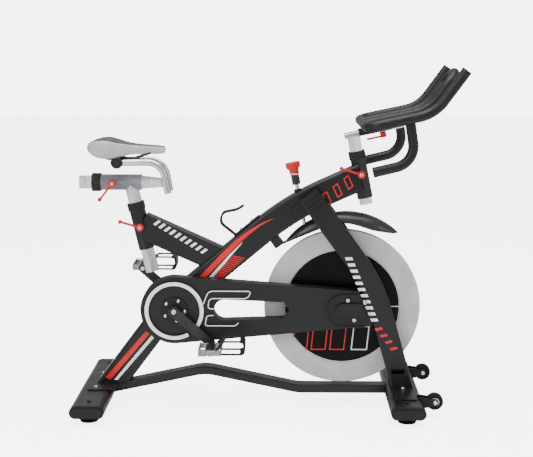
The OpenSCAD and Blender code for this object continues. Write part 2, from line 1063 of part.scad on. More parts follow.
module guard_outer() {
    color(frame_black)
        difference() {
            union() {
                side_plate(guard_face, guard_back - guard_t)
                    guard_outline();
                hub_boss(52, 3);
                hub_boss(23, 11);
            }
            // room inside for the belt and pulleys
            difference() {
                side_plate(guard_face + guard_t, 0)
                    guard_outline(guard_t);
                side_plate(guard_face, 0)
                    guard_window(guard_t);
            }
            side_plate(guard_face - 20, 0)
                guard_window();
            cross_cyl(crank_x, crank_z, 84, guard_face - 5, guard_face + 10);
            // room for the axle nut under the boss
            cross_cyl(axle_x, axle_z, 38, guard_face - 9, guard_face + 10);
            // open end beside the fork leg
            side_plate(guard_face + guard_t, 10)
                translate(guard_path_end_bottom + [-70, -20])
                    square([90, 180]);
            guard_leg_gap();
        }
}

// Clearance of the guard's end from the leg
module guard_leg_gap() {
    side_plate(guard_face - 30, 0)
        offset(delta = 3)
            projected_leg();
}

module projected_leg() {
    a = heading(leg_path[0], leg_path[1]);
    b = heading(leg_path[1], leg_path[2]);
    k = leg_path[1];
    h = leg_w / 2;
    polygon([
        k + 220 * [-cos(a), -sin(a)] + h * [-sin(a), cos(a)],
        k + 12 * [-cos(a), -sin(a)] + h * [-sin(a), cos(a)],
        leg_path[2] + h * [-sin(b), cos(b)],
        leg_path[2] - h * [-sin(b), cos(b)],
        k + 95 * [cos(b), sin(b)] - h * [-sin(b), cos(b)],
        k - 11 * [-sin(b), cos(b)] - (h - 8) * [-sin((a + b) / 2), cos((a + b) / 2)],
        k + 95 * [-cos(a), -sin(a)] - h * [-sin(a), cos(a)],
        k + 220 * [-cos(a), -sin(a)] - h * [-sin(a), cos(a)]
    ]);
}

// Raised oval round the flywheel axle, open towards the leg
module hub_boss(r, rise) {
    side_plate(guard_face, guard_face - rise)
        intersection() {
            hull() {
                translate([axle_x, axle_z])
                    circle(r);
                translate([axle_x + 110, axle_z - r])
                    square([1, 2 * r * 0.96]);
            }
            guard_outline(6);
        }
}

module guard_inner() {
    color(satin_black)
        difference() {
            side_plate(guard_back - guard_t + 0.02, guard_back)
                difference() {
                    guard_outline();
                    guard_window();
                    offset(delta = 3)
                        projected_leg();
                    translate([crank_x, crank_z])
                        circle(d = shell_d + 6);
                    translate([axle_x, axle_z])
                        circle(d = 84);
                }
        }
}

// ---------- drive ----------

module belt_loop(grow) {
    hull() {
        translate([crank_x, crank_z])
            circle(drive_pulley_d / 2 + part_gap + grow, $fn = 120);
        translate([axle_x, axle_z])
            circle(small_pulley_d / 2 + part_gap + grow, $fn = 60);
    }
}

module drive_belt() {
    color("#1a1a1a")
        side_plate(belt_y - belt_w / 2, belt_y + belt_w / 2)
            difference() {
                belt_loop(belt_t);
                belt_loop(0);
            }
}

module bb_bearings() {
    color(silver)
        both_sides()
            difference() {
                cross_cyl(crank_x, crank_z, bearing_d, shell_l / 2 - bearing_w + 0.05, shell_l / 2);
                cross_cyl(crank_x, crank_z, crank_axle_d + 2 * run_gap, 0, shell_l);
            }
}

module flywheel_axle() {
    color(silver) {
        cross_cyl(axle_x, axle_z, wheel_axle_d, -leg_out - 12, leg_out + 12);
        both_sides() {
            // outer nut and washer
            translate([axle_x, leg_out + touch_gap, axle_z])
                rotate([-90, 0, 0]) {
                    difference() {
                        cylinder(d = 28, h = 2);
                        translate([0, 0, -eps])
                            cylinder(d = wheel_axle_d - 0.02, h = 4);
                    }
                    translate([0, 0, 2])
                        difference() {
                            cylinder(d = 21, h = 8, $fn = 6);
                            translate([0, 0, -eps])
                                cylinder(d = wheel_axle_d - 0.02, h = 12);
                        }
                }
        }
    }
}

hub_d = 62;
hub_l = 66;
wheel_bearing_d = 32;
wheel_bearing_w = 10;
rim_depth = 66;

// Cast flywheel: rim, web and hub turned about Y
module flywheel() {
    color("#c2c2c2")
        translate([axle_x, 0, axle_z])
            rotate([90, 0, 0])
                difference() {
                    rotate_extrude()
                        difference() {
                            union() {
                                translate([wheel_axle_d / 2 + 3, -hub_l / 2 + 4])
                                    square([hub_d / 2 - wheel_axle_d / 2 - 3, hub_l - 8]);
                                translate([hub_d / 2 - 1, -6])
                                    square([flywheel_d / 2 - rim_depth - hub_d / 2 + 2, 12]);
                                rim_profile();
                            }
                            for (s = [-1, 1])
                                translate([0, s * (hub_l / 2 - 4 - wheel_bearing_w / 2)])
                                    square([wheel_bearing_d, wheel_bearing_w + 0.02], center = true);
                        }
                }
}

module rim_profile() {
    c = 2;
    r1 = flywheel_d / 2;
    r0 = r1 - rim_depth;
    h = flywheel_w / 2;
    polygon([
        [r0, -h + c], [r0 + c, -h], [r1 - c, -h], [r1, -h + c],
        [r1, h - c], [r1 - c, h], [r0 + c, h], [r0, h - c]
    ]);
}

// Decorative disc on each side of the web
module disc_covers() {
    color("#101010")
        both_sides()
            translate([axle_x, 6.02, axle_z])
                rotate([-90, 0, 0])
                    difference() {
                        cylinder(r = flywheel_d / 2 - rim_depth - 0.3, h = 5);
                        translate([0, 0, -eps])
                            cylinder(d = hub_d + 0.6, h = 8);
                    }
}

module flywheel_pulley() {
    color("#8a8a8a")
        translate([axle_x, belt_y, axle_z])
            rotate([90, 0, 0])
                difference() {
                    union() {
                        cylinder(d = small_pulley_d, h = belt_w + 1, center = true);
                        for (s = [-1, 1])
                            translate([0, 0, s * (belt_w / 2 + 1.25)])
                                cylinder(d = small_pulley_d + 5, h = 1.5, center = true);
                        translate([0, 0, belt_y + hub_l / 2 - 4])
                            cylinder(d = 44, h = -belt_y - hub_l / 2 + 4);
                    }
                    cylinder(d = wheel_axle_d + 6, h = 60, center = true);
                }
}

module flywheel_bearings() {
    color(silver)
        both_sides()
            difference() {
                cross_cyl(axle_x, axle_z, wheel_bearing_d,
                    hub_l / 2 - 4 - wheel_bearing_w + 0.02, hub_l / 2 - 4.02);
                cross_cyl(axle_x, axle_z, wheel_axle_d + 2 * run_gap, 0, hub_l);
            }
}

// ---------- cranks ----------

module bb_axle() {
    color(silver)
        cross_cyl(crank_x, crank_z, crank_axle_d, -crank_in - crank_t + 4, crank_in + crank_t - 4);
}

spider_y = guard_face - 2;
spider_r = 43;
spider_bolt_r = 34;

module drive_pulley() {
    color("#3a3a3a")
        translate([crank_x, belt_y, crank_z])
            rotate([90, 0, 0])
                difference() {
                    union() {
                        cylinder(d = drive_pulley_d, h = belt_w + 1, center = true);
                        for (s = [-1, 1])
                            translate([0, 0, s * (belt_w / 2 + 1.25)])
                                cylinder(d = drive_pulley_d + 5, h = 1.5, center = true);
                        cylinder(d = 78, h = -spider_y + belt_y);
                    }
                    cylinder(d = crank_axle_d, h = 90, center = true);
                    // dished sides
                    for (s = [-1, 1])
                        translate([0, 0, s * (belt_w / 2 + 2)])
                            difference() {
                                cylinder(d = drive_pulley_d - 16, h = 9, center = true);
                                cylinder(d = 84, h = 10, center = true);
                            }
                    for (i = [0:5])
                        rotate(60 * i)
                            translate([drive_pulley_d / 2 - 26, 0, 0])
                                cylinder(d = 24, h = 40, center = true);
                }
}

module spider() {
    color(satin_black)
        translate([crank_x, spider_y, crank_z])
            rotate([90, 0, 0])
                difference() {
                    union() {
                        cylinder(r = spider_r, h = 4);
                        cylinder(d = 34, h = crank_in + spider_y);
                    }
                    translate([0, 0, -eps])
                        cylinder(d = crank_axle_d, h = 40);
                }
}

// Crank arm along +X from the axle, tapering to its pedal eye
module crank_arm(side) {
    y0 = side * crank_in;
    y1 = side * (crank_in + crank_t);
    difference() {
        side_plate(y0, y1)
            hull() {
                circle(17);
                translate([crank_l, 0])
                    circle(13);
            }
        cross_cyl(0, 0, crank_axle_d, y0 - side * eps, y1 - side * 3.98);
        cross_cyl(0, 0, 22, y1 - side * 3.98, y1 + side * eps);
        cross_cyl(crank_l, 0, spindle_d, y0 - side * eps, y1 + side * eps);
    }
}

module on_crank(side) {
    translate([crank_x, 0, crank_z])
        rotate([0, side < 0 ? crank_angle : crank_angle + 180, 0])
            children();
}

module crank_right() {
    color(satin_black)
        on_crank(-1)
            crank_arm(-1);
}

module crank_left() {
    color(satin_black)
        on_crank(1)
            crank_arm(1);
}

module crank_bolts() {
    color(silver) {
        for (i = [0:4])
            translate([crank_x, spider_y - 4.02, crank_z])
                rotate([90, 0, 0])
                    rotate(-crank_angle + 36 + 72 * i)
                        translate([spider_bolt_r, 0, 0])
                            bolt_head(11, 5);
        for (s = [-1, 1])
            translate([crank_x, s * (crank_in + crank_t - 3.96), crank_z])
                rotate([-90 * s, 0, 0])
                    bolt_head(17, 5);
    }
}

module pedal_spindles() {
    color(silver)
        for (s = [-1, 1])
            on_crank(s) {
                cross_cyl(crank_l, 0, spindle_d, s * crank_in, s * (crank_in + crank_t + 3));
                cross_cyl(crank_l, 0, 18, s * (crank_in + crank_t + 0.02), s * (crank_in + crank_t + 5));
                cross_cyl(crank_l, 0, spindle_d - 3, s * (crank_in + crank_t), s * (pedal_in + pedal_l - 5));
            }
}

// Pedal: two side rails joined by a middle barrel, with end plates and a toe cage
module pedal_body(side) {
    rail_w = 12;
    y0 = side * pedal_in;
    y1 = side * (pedal_in + pedal_l);
    difference() {
        union() {
            cross_cyl(0, 0, pedal_h, y0, y1);
            for (s = [-1, 1])
                side_plate(y0, y1)
                    translate([s * (pedal_w / 2 - rail_w / 2), 0])
                        rounded_rect(rail_w, pedal_h, 3);
            for (y = [0, pedal_l - 9])
                side_plate(y0 + side * y, y0 + side * (y + 9))
                    rounded_rect(pedal_w - 4, pedal_h - 2, 5);
        }
        cross_cyl(0, 0, spindle_d - 3 + 2 * run_gap, y0 - side * eps, y1 - side * 4);
    }
}

toe_l = 86;
toe_h = 54;

// Toe cage: a plastic hoop ahead of the pedal and a strap over the foot
module toe_cage(side) {
    y0 = side * (pedal_in + 8);
    y1 = side * (pedal_in + pedal_l - 8);
    side_plate(y0, y1)
        translate([pedal_w / 2 - 0.02, -pedal_h / 2])
            square([toe_l - 12, 3]);
    side_plate(y0, y1)
        translate([pedal_w / 2 + toe_l - 14, -pedal_h / 2])
            square([3, toe_h - 8]);
    side_plate(y0, y1)
        translate([pedal_w / 2 + 10, -pedal_h / 2 + toe_h - 9])
            square([toe_l - 21, 3]);
}

module pedal(side) {
    translate([crank_x, 0, crank_z])
        rotate([0, side < 0 ? crank_angle : crank_angle + 180, 0])
            translate([crank_l, 0, 0])
                rotate([0, side < 0 ? -crank_angle : -crank_angle - 180, 0]) {
                    pedal_body(side);
                    toe_cage(side);
                }
}

module pedal_right() {
    color(satin_black)
        pedal(-1);
}

module pedal_left() {
    color(satin_black)
        pedal(1);
}

// ---------- seat ----------

module seat_post() {
    top = slider_z + 6;
    l = (top - seat_mid[1]) / cos(seat_lean);
    color(silver)
        difference() {
            lean(seat_mid, seat_lean)
                translate([0, 0, seat_post_bottom])
                    linear_extrude(l - seat_post_bottom)
                        rotate(90)
                            hexagon_ring(hex_post_w, 2.5);
            sleeve_space();
        }
}

module sleeve_space() {
    translate([sleeve_x0, 0, slider_z])
        run(sleeve_x1 - sleeve_x0)
            hexagon(hex_tube_w);
}

slider_stud_x = -496;

module seat_sleeve() {
    color(sleeve_grey)
        difference() {
            union() {
                translate([sleeve_x0, 0, slider_z])
                    run(sleeve_x1 - sleeve_x0)
                        hexagon(hex_tube_w);
                cross_cyl(slider_stud_x, slider_z, stud_boss_d, -stud_boss_y, 0);
            }
            translate([sleeve_x0 - eps, 0, slider_z])
                run(sleeve_x1 - sleeve_x0 + 2 * eps)
                    hexagon(hex_post_w + 2 * slide_gap);
            cross_cyl(slider_stud_x, slider_z, stud_d + 2 * run_gap, -stud_boss_y - eps, 0);
        }
}

module sleeve_cap() {
    color(satin_black)
        translate([sleeve_x0 - sleeve_cap_l, 0, slider_z])
            run(sleeve_cap_l - 0.02)
                hexagon_ring(hex_tube_w + 8, (hex_tube_w + 8 - hex_post_w) / 2 - slide_gap);
}

module seat_slider() {
    color(silver) {
        difference() {
            union() {
                translate([slider_x0, 0, slider_z])
                    run(slider_front - slider_x0)
                        hexagon(hex_post_w);
                slider_nose();
            }
            translate([slider_x0 - eps, 0, slider_z])
                run(slider_front - slider_x0 - 6)
                    hexagon(hex_post_w - 5);
        }
        saddle_supports();
    }
}

// Front of the slider, pressed down to a narrower end
module slider_nose() {
    intersection() {
        translate([slider_front, 0, slider_z])
            run(nose_x - slider_front)
                hexagon(hex_post_w);
        side_plate(-40, 40)
            polygon([
                [slider_front, slider_z - hex_post_w / 2], [nose_x, slider_z - nose_h / 2 - 2],
                [nose_x, slider_z + nose_h / 2 - 2], [slider_front, slider_z + hex_post_w / 2]
            ]);
    }
    // cross plate that carries the two bent tubes
    translate([nose_x - 8, -support_y - 4, slider_z - nose_h / 2 + 1])
        cube([10, 2 * support_y + 8, nose_h - 6]);
}

support_path = [[-318, 697], [-336, 798], [clamp_x - 8, saddle_z - 4]];
support_radii = [0, 58, 0];

module saddle_supports() {
    difference() {
        both_sides()
            translate([0, support_y, 0])
                bent_tube(support_path, support_radii)
                    circle(d = support_d);
        cross_cyl(clamp_x, clamp_z, clamp_pin_d + 2 * run_gap, -support_y - support_d, support_y + support_d);
    }
}

clamp_pin_d = 8;
clamp_z = saddle_z - 4;
clamp_d = 34;
rail_y = 20;
wire_d = 7;
wire_path = [[-548, 826], [-512, 806], [-430, 806], [-372, 826]];
wire_radii = [0, 24, 30, 0];
clamp_half = support_y - support_d / 2 - 1;

// Saddle clamp: a round block on a cross pin between the tubes' ends, and two bent wire rails
module saddle_clamp() {
    color(satin_black) {
        cross_cyl(clamp_x, clamp_z, clamp_d, -clamp_half, clamp_half);
        cross_cyl(clamp_x, clamp_z, clamp_pin_d, -clamp_half - support_d - 3, clamp_half + support_d + 3);
        both_sides()
            cross_cyl(clamp_x, clamp_z, 14, support_y + support_d / 2 + part_gap,
                support_y + support_d / 2 + 4);
        for (s = [-1, 1])
            translate([0, s * rail_y, 0])
                bent_tube(wire_path, wire_radii)
                    circle(d = wire_d);
        translate([clamp_x - 18, -rail_y - 5, saddle_z + 4])
            cube([36, 2 * rail_y + 10, 8]);
    }
}

// Saddle: a plain padded form, wide at the back and narrow at the nose
saddle_back = -581;

module saddle_body() {
    hull() {
        translate([saddle_back + 55, 0, 828])
            scale([1, (saddle_w / 2) / 55, 0.5])
                sphere(55, $fn = 28);
        translate([saddle_back + 62, 0, 848])
            scale([1, (saddle_w / 2 - 12) / 55, 0.46])
                sphere(55, $fn = 28);
        translate([saddle_back + saddle_l - 18, 0, 834])
            scale([1, 1.1, 0.85])
                sphere(18, $fn = 20);
    }
}

module saddle() {
    color("#4a4a4a")
        difference() {
            saddle_body();
            // underside rises towards the nose
            side_plate(-saddle_w, saddle_w)
                polygon([
                    [saddle_back - 20, 700], [saddle_back - 20, 805], [-476, 810], [-425, 822],
                    [-250, 822], [-250, 700]
                ]);
            // channel for the rails and the clamp
            translate([wire_path[0][0] - 1.72, -rail_y - 7, 780])
                cube([wire_path[3][0] - wire_path[0][0] + 2.84, 2 * rail_y + 14, 50]);
        }
}

// ---------- levers ----------

lever_boss_d = 24;
lever_l = 66;
lever_y0 = stud_boss_y + 0.5;

// Lever that turns on a stud across the bike; the stud reaches in towards the post
module side_lever(angle, reach) {
    rotate([90, 0, 0]) {
        translate([0, 0, lever_y0])
            difference() {
                cylinder(d = lever_boss_d, h = 14);
                translate([0, 0, 11])
                    cylinder(d = 9, h = 6);
            }
        translate([0, 0, reach])
            cylinder(d = stud_d, h = lever_y0 - reach + 1);
        rotate(angle)
            translate([0, 0, lever_y0 + 3]) {
                translate([0, -3.5, 0])
                    cube([lever_l, 7, 8]);
                translate([lever_l, 0, 0])
                    cylinder(d = 13, h = 9);
            }
    }
}

stud_reach = hex_post_w / sqrt(3) + 0.8;

module seat_post_lever() {
    color(red)
        lean(seat_mid, seat_lean)
            translate([0, 0, seat_stud_z])
                side_lever(180 - 16 - seat_lean, stud_reach);
}

module head_post_lever() {
    color(red)
        lean(head_mid, head_lean)
            translate([0, 0, head_stud_z])
                side_lever(180 - 17 - head_lean, stud_reach);
}

module seat_slider_lever() {
    color(red)
        translate([slider_stud_x, 0, slider_z])
            side_lever(180 + 52, stud_reach);
}

// ---------- handlebar ----------

rail_mid_x = 325;
carriage_top = 4;
rail_drop = (bar_d / 2 + carriage_top + rail_h / 2) / cos(bar_tilt);
rail_mid_z = bar_back[1] + (rail_mid_x - bar_back[0]) * tan(bar_tilt) - rail_drop;
rail_len = 190;
rail_back = 80;

// Post with its sloping top rail
module handlebar_post() {
    color(silver) {
        difference() {
            lean(head_mid, head_lean)
                translate([0, 0, head_post_bottom])
                    linear_extrude(head_post_top + 40 - head_post_bottom)
                        rotate(90)
                            hexagon_ring(hex_post_w, 2.5);
            at([rail_mid_x, rail_mid_z], bar_tilt)
                translate([-200, -50, -rail_h / 2 + 2 * overlap])
                    cube([400, 100, 200]);
        }
        difference() {
            at([rail_mid_x, rail_mid_z], bar_tilt)
                translate([-rail_back, 0, 0])
                    run(rail_len)
                        rounded_rect(rail_w, rail_h - 0.04, 4);
            at([rail_mid_x, rail_mid_z], bar_tilt)
                translate([0, -stem_slot / 2, -rail_h])
                    cube([rail_len - rail_back - 14, stem_slot, 2 * rail_h]);
        }
    }
}

stem_slot = 14;
stem_lever_l = 54;
stem_stud_x = 42;

// Carriage that slides on the rail and holds the handlebar
module stem_carriage() {
    color(satin_black)
        at([rail_mid_x, rail_mid_z], bar_tilt)
            difference() {
                translate([-34, -rail_w / 2 - 6, -rail_h / 2 + 2])
                    cube([104, rail_w + 12, rail_h - 2 + carriage_top - touch_gap]);
                translate([-40, -rail_w / 2 - slide_gap, -rail_h])
                    cube([120, rail_w + 2 * slide_gap, 1.5 * rail_h + slide_gap]);
                translate([stem_stud_x, 0, 0])
                    cylinder(d = 10 + 2 * run_gap, h = 40, center = true);
            }
}

module stem_lever() {
    color(red)
        at([rail_mid_x, rail_mid_z], bar_tilt)
            translate([stem_stud_x, 0, 0]) {
                translate([0, 0, -rail_h / 2 - 20])
                    cylinder(d = 20, h = 19);
                translate([0, 0, -rail_h / 2 - 4])
                    cylinder(d = 10, h = rail_h + 6);
                translate([-stem_lever_l, -4, -rail_h / 2 - 19])
                    cube([stem_lever_l, 8, 6]);
            }
}

outer_y = bar_spread / 2;
corner_r = 44;

// Padded tube in the XZ plane at one Y, from the back bar to the tip
module long_bar(tip) {
    bent_tube([bar_back + corner_r * [cos(bar_tilt), sin(bar_tilt)], bar_knee, tip], [0, bar_bend_r, 0])
        circle(d = bar_d);
}

module handlebar() {
    tip_angle = heading(bar_knee, bar_tip);
    loop_tip = bar_tip - (inner_y + bar_d / 2) * [cos(tip_angle), sin(tip_angle)];
    color(satin_black) {
        both_sides() {
            translate([0, outer_y, 0])
                long_bar(bar_tip);
            translate([0, inner_y, 0])
                bent_tube([bar_back, bar_knee, loop_tip], [0, bar_bend_r, 0])
                    circle(d = bar_d);
            // rounded corner of the back bar
            at(bar_back, bar_tilt) {
                translate([corner_r, outer_y - corner_r, 0])
                    rotate(90)
                        rotate_extrude(angle = 90)
                            translate([corner_r, 0])
                                circle(d = bar_d);
                translate([corner_r, outer_y, 0])
                    weld_ring()
                        circle(d = bar_d);
                translate([0, outer_y - corner_r, 0])
                    rotate(90)
                        weld_ring()
                            circle(d = bar_d);
            }
            // drop bar
            translate([0, drop_y, 0])
                bent_tube(drop_path, drop_radii)
                    circle(d = bar_d);
        }
        cross_cyl(bar_back[0], bar_back[1], bar_d, -outer_y + corner_r, outer_y - corner_r);
        // round end that joins the two inner bars
        at(loop_tip, tip_angle) {
            rotate(-90)
                rotate_extrude(angle = 180)
                    translate([inner_y, 0])
                        circle(d = bar_d);
            for (s = [-1, 1])
                translate([0, s * inner_y, 0])
                    weld_ring()
                        circle(d = bar_d);
        }
    }
}

// ---------- screws ----------

plate_bolt_y = 79;

module frame_screws() {
    color(silver) {
        // three screws of the belt guard
        for (p = [[15, 36], [36, -29], [70, 29]])
            translate([axle_x + p[0], guard_face - 3.02, axle_z + p[1]])
                rotate([90, 0, 0])
                    bolt_head(9, 3);
        // wheel bolts
        for (s = [-1, 1]) {
            cross_cyl(wheel_x, wheel_z, wheel_bolt_d,
                s * wheel_y - wheel_w / 2 - fin_t - 1.5, s * wheel_y + wheel_w / 2 + fin_t + 1.5);
            for (e = [-1, 1])
                translate([wheel_x, s * wheel_y + e * (wheel_w / 2 + fin_t + 1.52), wheel_z])
                    rotate([-90 * e, 0, 0])
                        bolt_head(14, 5);
        }
        // plate bolts on the stabilisers
        for (x = [rear_x, front_x], s = [-1, 1])
            translate([x, s * plate_bolt_y, stab_top + plate_t])
                bolt_head(13, 6);
        // bottle cage bolts
        at(cage_foot, cage_angle)
            for (x = [-24, 22])
                translate([x, 0, cage_t + 2 * touch_gap])
                    bolt_head(11, 5);
    }
}

main_beam();
seat_beam();
seat_tube();
head_tube();
tube_collars();
bb_shell();
fork_leg_right();
fork_leg_left();
base_rail();
rear_stabiliser();
front_stabiliser();
stabiliser_caps();
wheel_brackets();
bottle_cage();
fender();
brake_block();
knob_housing();
guard_outer();
guard_inner();
frame_screws();
drive_belt();
bb_bearings();
flywheel_axle();
flywheel();
disc_covers();
flywheel_pulley();
flywheel_bearings();
bb_axle();
drive_pulley();
spider();
crank_right();
crank_left();
crank_bolts();
pedal_spindles();
pedal_right();
pedal_left();
seat_post();
seat_sleeve();
sleeve_cap();
seat_slider();
saddle_clamp();
saddle();
seat_post_lever();
seat_slider_lever();
head_post_lever();
stem_lever();
handlebar_post();
stem_carriage();
handlebar();
brake_knob();
brake_rod();
brake_leaf();
brake_pad();
transport_wheel_right();
transport_wheel_left();
foot_rear_right();
foot_rear_left();
foot_front_right();
foot_front_left();
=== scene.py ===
"""Looks of an indoor cycling bike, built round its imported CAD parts. Metres, +Z up, +X towards the bars."""

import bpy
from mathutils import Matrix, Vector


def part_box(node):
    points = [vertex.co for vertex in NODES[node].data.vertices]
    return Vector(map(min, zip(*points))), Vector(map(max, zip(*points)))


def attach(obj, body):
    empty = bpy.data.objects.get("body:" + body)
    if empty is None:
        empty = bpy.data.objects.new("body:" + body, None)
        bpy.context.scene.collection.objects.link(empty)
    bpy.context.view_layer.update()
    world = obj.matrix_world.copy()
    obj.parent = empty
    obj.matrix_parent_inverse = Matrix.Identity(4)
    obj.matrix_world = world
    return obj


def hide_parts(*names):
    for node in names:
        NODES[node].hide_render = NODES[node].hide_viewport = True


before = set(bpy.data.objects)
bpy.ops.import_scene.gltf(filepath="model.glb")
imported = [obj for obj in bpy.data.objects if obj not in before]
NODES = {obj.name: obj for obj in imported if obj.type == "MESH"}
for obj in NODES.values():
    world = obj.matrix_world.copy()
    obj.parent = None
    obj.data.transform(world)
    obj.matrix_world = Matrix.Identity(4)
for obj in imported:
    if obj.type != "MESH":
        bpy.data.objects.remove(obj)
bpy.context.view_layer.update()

import math

import bmesh
import bpy
from mathutils import Matrix, Vector

MM = 0.001


# ---------------------------------------------------------------- helpers

def srgb(code):
    """Hex sRGB colour as linear RGBA."""
    parts = [int(code[i:i + 2], 16) / 255 for i in (0, 2, 4)]
    return [c / 12.92 if c <= 0.04045 else ((c + 0.055) / 1.055) ** 2.4 for c in parts] + [1.0]


def add(tree, kind, inputs=None, **settings):
    """A node with its settings; each input gets a value or another node's output."""
    made = tree.nodes.new(kind)
    for key, value in settings.items():
        setattr(made, key, value)
    for key, value in (inputs or {}).items():
        if isinstance(value, bpy.types.NodeSocket):
            tree.links.new(value, made.inputs[key])
        else:
            made.inputs[key].default_value = value
    return made


def sums(tree, operation, a, b=0.0):
    return add(tree, "ShaderNodeMath", {0: a, 1: b}, operation=operation).outputs["Value"]


def mixed(tree, amount, a, b):
    """Colour a where amount is 0 and b where it is 1."""
    return add(tree, "ShaderNodeMix", {0: amount, 6: a, 7: b}, data_type="RGBA").outputs[2]


def surface(name, **shader):
    """A new material with its tree, its shader and its object coordinates."""
    mat = bpy.data.materials.new(name)
    mat.use_nodes = True
    tree = mat.node_tree
    tree.nodes.clear()
    place = add(tree, "ShaderNodeTexCoord").outputs["Object"]
    bsdf = add(tree, "ShaderNodeBsdfPrincipled", {k.replace("_", " "): v for k, v in shader.items()})
    add(tree, "ShaderNodeOutputMaterial", {"Surface": bsdf.outputs["BSDF"]})
    return mat, tree, bsdf, place


def grain(tree, place, size_mm, detail=3.0, stretch=(1, 1, 1)):
    """Noise whose features are size_mm wide."""
    spread = add(tree, "ShaderNodeMapping", {"Vector": place, "Scale": stretch}).outputs["Vector"]
    return add(tree, "ShaderNodeTexNoise",
               {"Vector": spread, "Scale": 1000.0 / size_mm, "Detail": detail}).outputs[0]


def spread_out(tree, value, low, high, start=0.35, stop=0.65):
    """The value's middle range, start to stop, carried to low to high."""
    return add(tree, "ShaderNodeMapRange", {"Value": value, "From Min": start, "From Max": stop,
                                            "To Min": low, "To Max": high}).outputs["Result"]


def finish_with(tree, bsdf, place, colours, patch, rough, relief, stretch=(1, 1, 1)):
    """Colour mottled between two shades, roughness that wanders, and a fine relief of (size, depth) in mm."""
    cloud = grain(tree, place, patch, 2.0, stretch)
    amount = spread_out(tree, cloud, 0.0, 1.0)
    colour = mixed(tree, amount, srgb(colours[0]), srgb(colours[1]))
    wear = grain(tree, place, patch * 0.4, 4.0, stretch)
    tree.links.new(spread_out(tree, wear, *rough), bsdf.inputs["Roughness"])
    fine = grain(tree, place, relief[0], 2.0, stretch)
    bump = add(tree, "ShaderNodeBump", {"Height": fine, "Distance": relief[1] * MM, "Strength": 1.0})
    tree.links.new(bump.outputs["Normal"], bsdf.inputs["Normal"])
    tree.links.new(colour, bsdf.inputs["Base Color"])
    return colour


def simple(name, colours, patch, rough, relief, stretch=(1, 1, 1), **shader):
    mat, tree, bsdf, place = surface(name, **shader)
    finish_with(tree, bsdf, place, colours, patch, rough, relief, stretch)
    return mat


# ---------------------------------------------------------------- materials

# Powder-coated welded steel tube: a satin black skin with the coat's faint orange-peel.
FRAME_PAINT = simple("powder_coated_steel", ("0e0e10", "131315"), 160, (0.3, 0.4), (2.4, 0.05),
                     Specular_IOR_Level=0.35)
# Injection-moulded ABS caps and housings: matte black with a spark-eroded grain.
BLACK_PLASTIC = simple("moulded_abs", ("0f0f10", "141416"), 60, (0.46, 0.58), (1.2, 0.06),
                       Specular_IOR_Level=0.3)
# Vacuum-formed belt guard, painted: slightly lighter than the tubes, very even.
GUARD_PAINT = simple("painted_guard_shell", ("151517", "19191b"), 220, (0.4, 0.48), (1.8, 0.03),
                     Specular_IOR_Level=0.3)
# Moulded SBR rubber feet and tyres: dull dark grey with a dry bloom.
RUBBER = simple("moulded_rubber", ("121213", "1a1a1b"), 24, (0.62, 0.78), (1.5, 0.08),
                Specular_IOR_Level=0.3)
# Poly-V belt rubber: near black, dusty along its length.
BELT = simple("poly_v_belt_rubber", ("0e0e0f", "151516"), 30, (0.6, 0.75), (1.0, 0.05),
              Specular_IOR_Level=0.3)
# Zinc-plated machine screws, bearings and axle: bright with small cloudy patches.
STEEL = simple("zinc_plated_steel", ("b9bbbe", "d2d3d5"), 6, (0.2, 0.34), (1.5, 0.02), Metallic=1.0)
# Chromed steel posts: drawn tube, fine lines run along the tube.
POST_METAL = simple("satin_chromed_tube", ("c3c5c9", "dcdde0"), 30, (0.2, 0.32), (1.6, 0.02),
                    stretch=(1, 1, 0.12), Metallic=1.0)
# Extruded sleeve, painted silver grey: soft sheen with a fine metallic fleck.
SLEEVE_GREY = simple("silver_painted_extrusion", ("6f7073", "828387"), 40, (0.4, 0.52), (1.4, 0.03),
                     Metallic=0.3)
# Cast-iron flywheel rim, painted light grey: chalky with a hint of the casting under the paint.
RIM = simple("painted_cast_iron", ("b4b5b6", "c3c4c5"), 70, (0.5, 0.62), (2.2, 0.08),
             Specular_IOR_Level=0.35)
# Machined aluminium pulleys: turned lines, drawn coarser than the real 0.1 mm feed.
PULLEY = simple("turned_aluminium", ("8f9194", "a7a9ac"), 20, (0.28, 0.4), (1.2, 0.03), Metallic=1.0)
# Forged steel crank, satin black paint: a little glossier on its worn edges.
CRANK_PAINT = simple("painted_forged_crank", ("121214", "19191b"), 30, (0.34, 0.48), (1.6, 0.04),
                     Specular_IOR_Level=0.45)
# Dipped PVC grip over the bar: satin black skin, finely pebbled.
GRIP = simple("dipped_pvc_grip", ("0f0f10", "131315"), 50, (0.4, 0.52), (1.6, 0.12),
              Specular_IOR_Level=0.32)
# Red nylon knob and lever parts: glossy, faint flow marks from the mould.
LEVER_RED = simple("moulded_red_nylon", ("b80006", "cc0209"), 16, (0.22, 0.34), (1.4, 0.03))
# Pressed wool felt of the brake pad: tufty tan fibre.
FELT = simple("pressed_wool_felt", ("6a4a30", "8d6a47"), 4, (0.85, 0.95), (1.2, 0.4))
# Screen-printed white ink: clean, just off pure white.
WHITE_INK = simple("white_screen_print", ("f6f6f6", "fcfcfc"), 40, (0.4, 0.5), (1.5, 0.01))
# Screen-printed red ink.
RED_INK = simple("red_screen_print", ("c6000a", "d8040e"), 40, (0.38, 0.48), (1.5, 0.01))
# Woven nylon pedal strap: dark cord with a visible cross weave.
STRAP = simple("woven_nylon_strap", ("111112", "1d1d1f"), 3, (0.7, 0.85), (1.1, 0.2),
               Specular_IOR_Level=0.25)


# Thin moulded polypropylene mudguard: smooth satin black that takes a long highlight.
FENDER_PLASTIC = simple("moulded_polypropylene", ("1b1b1d", "212123"), 120, (0.3, 0.4), (2.2, 0.03))
# Die-cast pedal body: bright tumbled zinc alloy, scuffed.
PEDAL_CAST = simple("tumbled_zinc_casting", ("7c7d80", "a9aaad"), 10, (0.3, 0.46), (1.4, 0.05), Metallic=0.85)


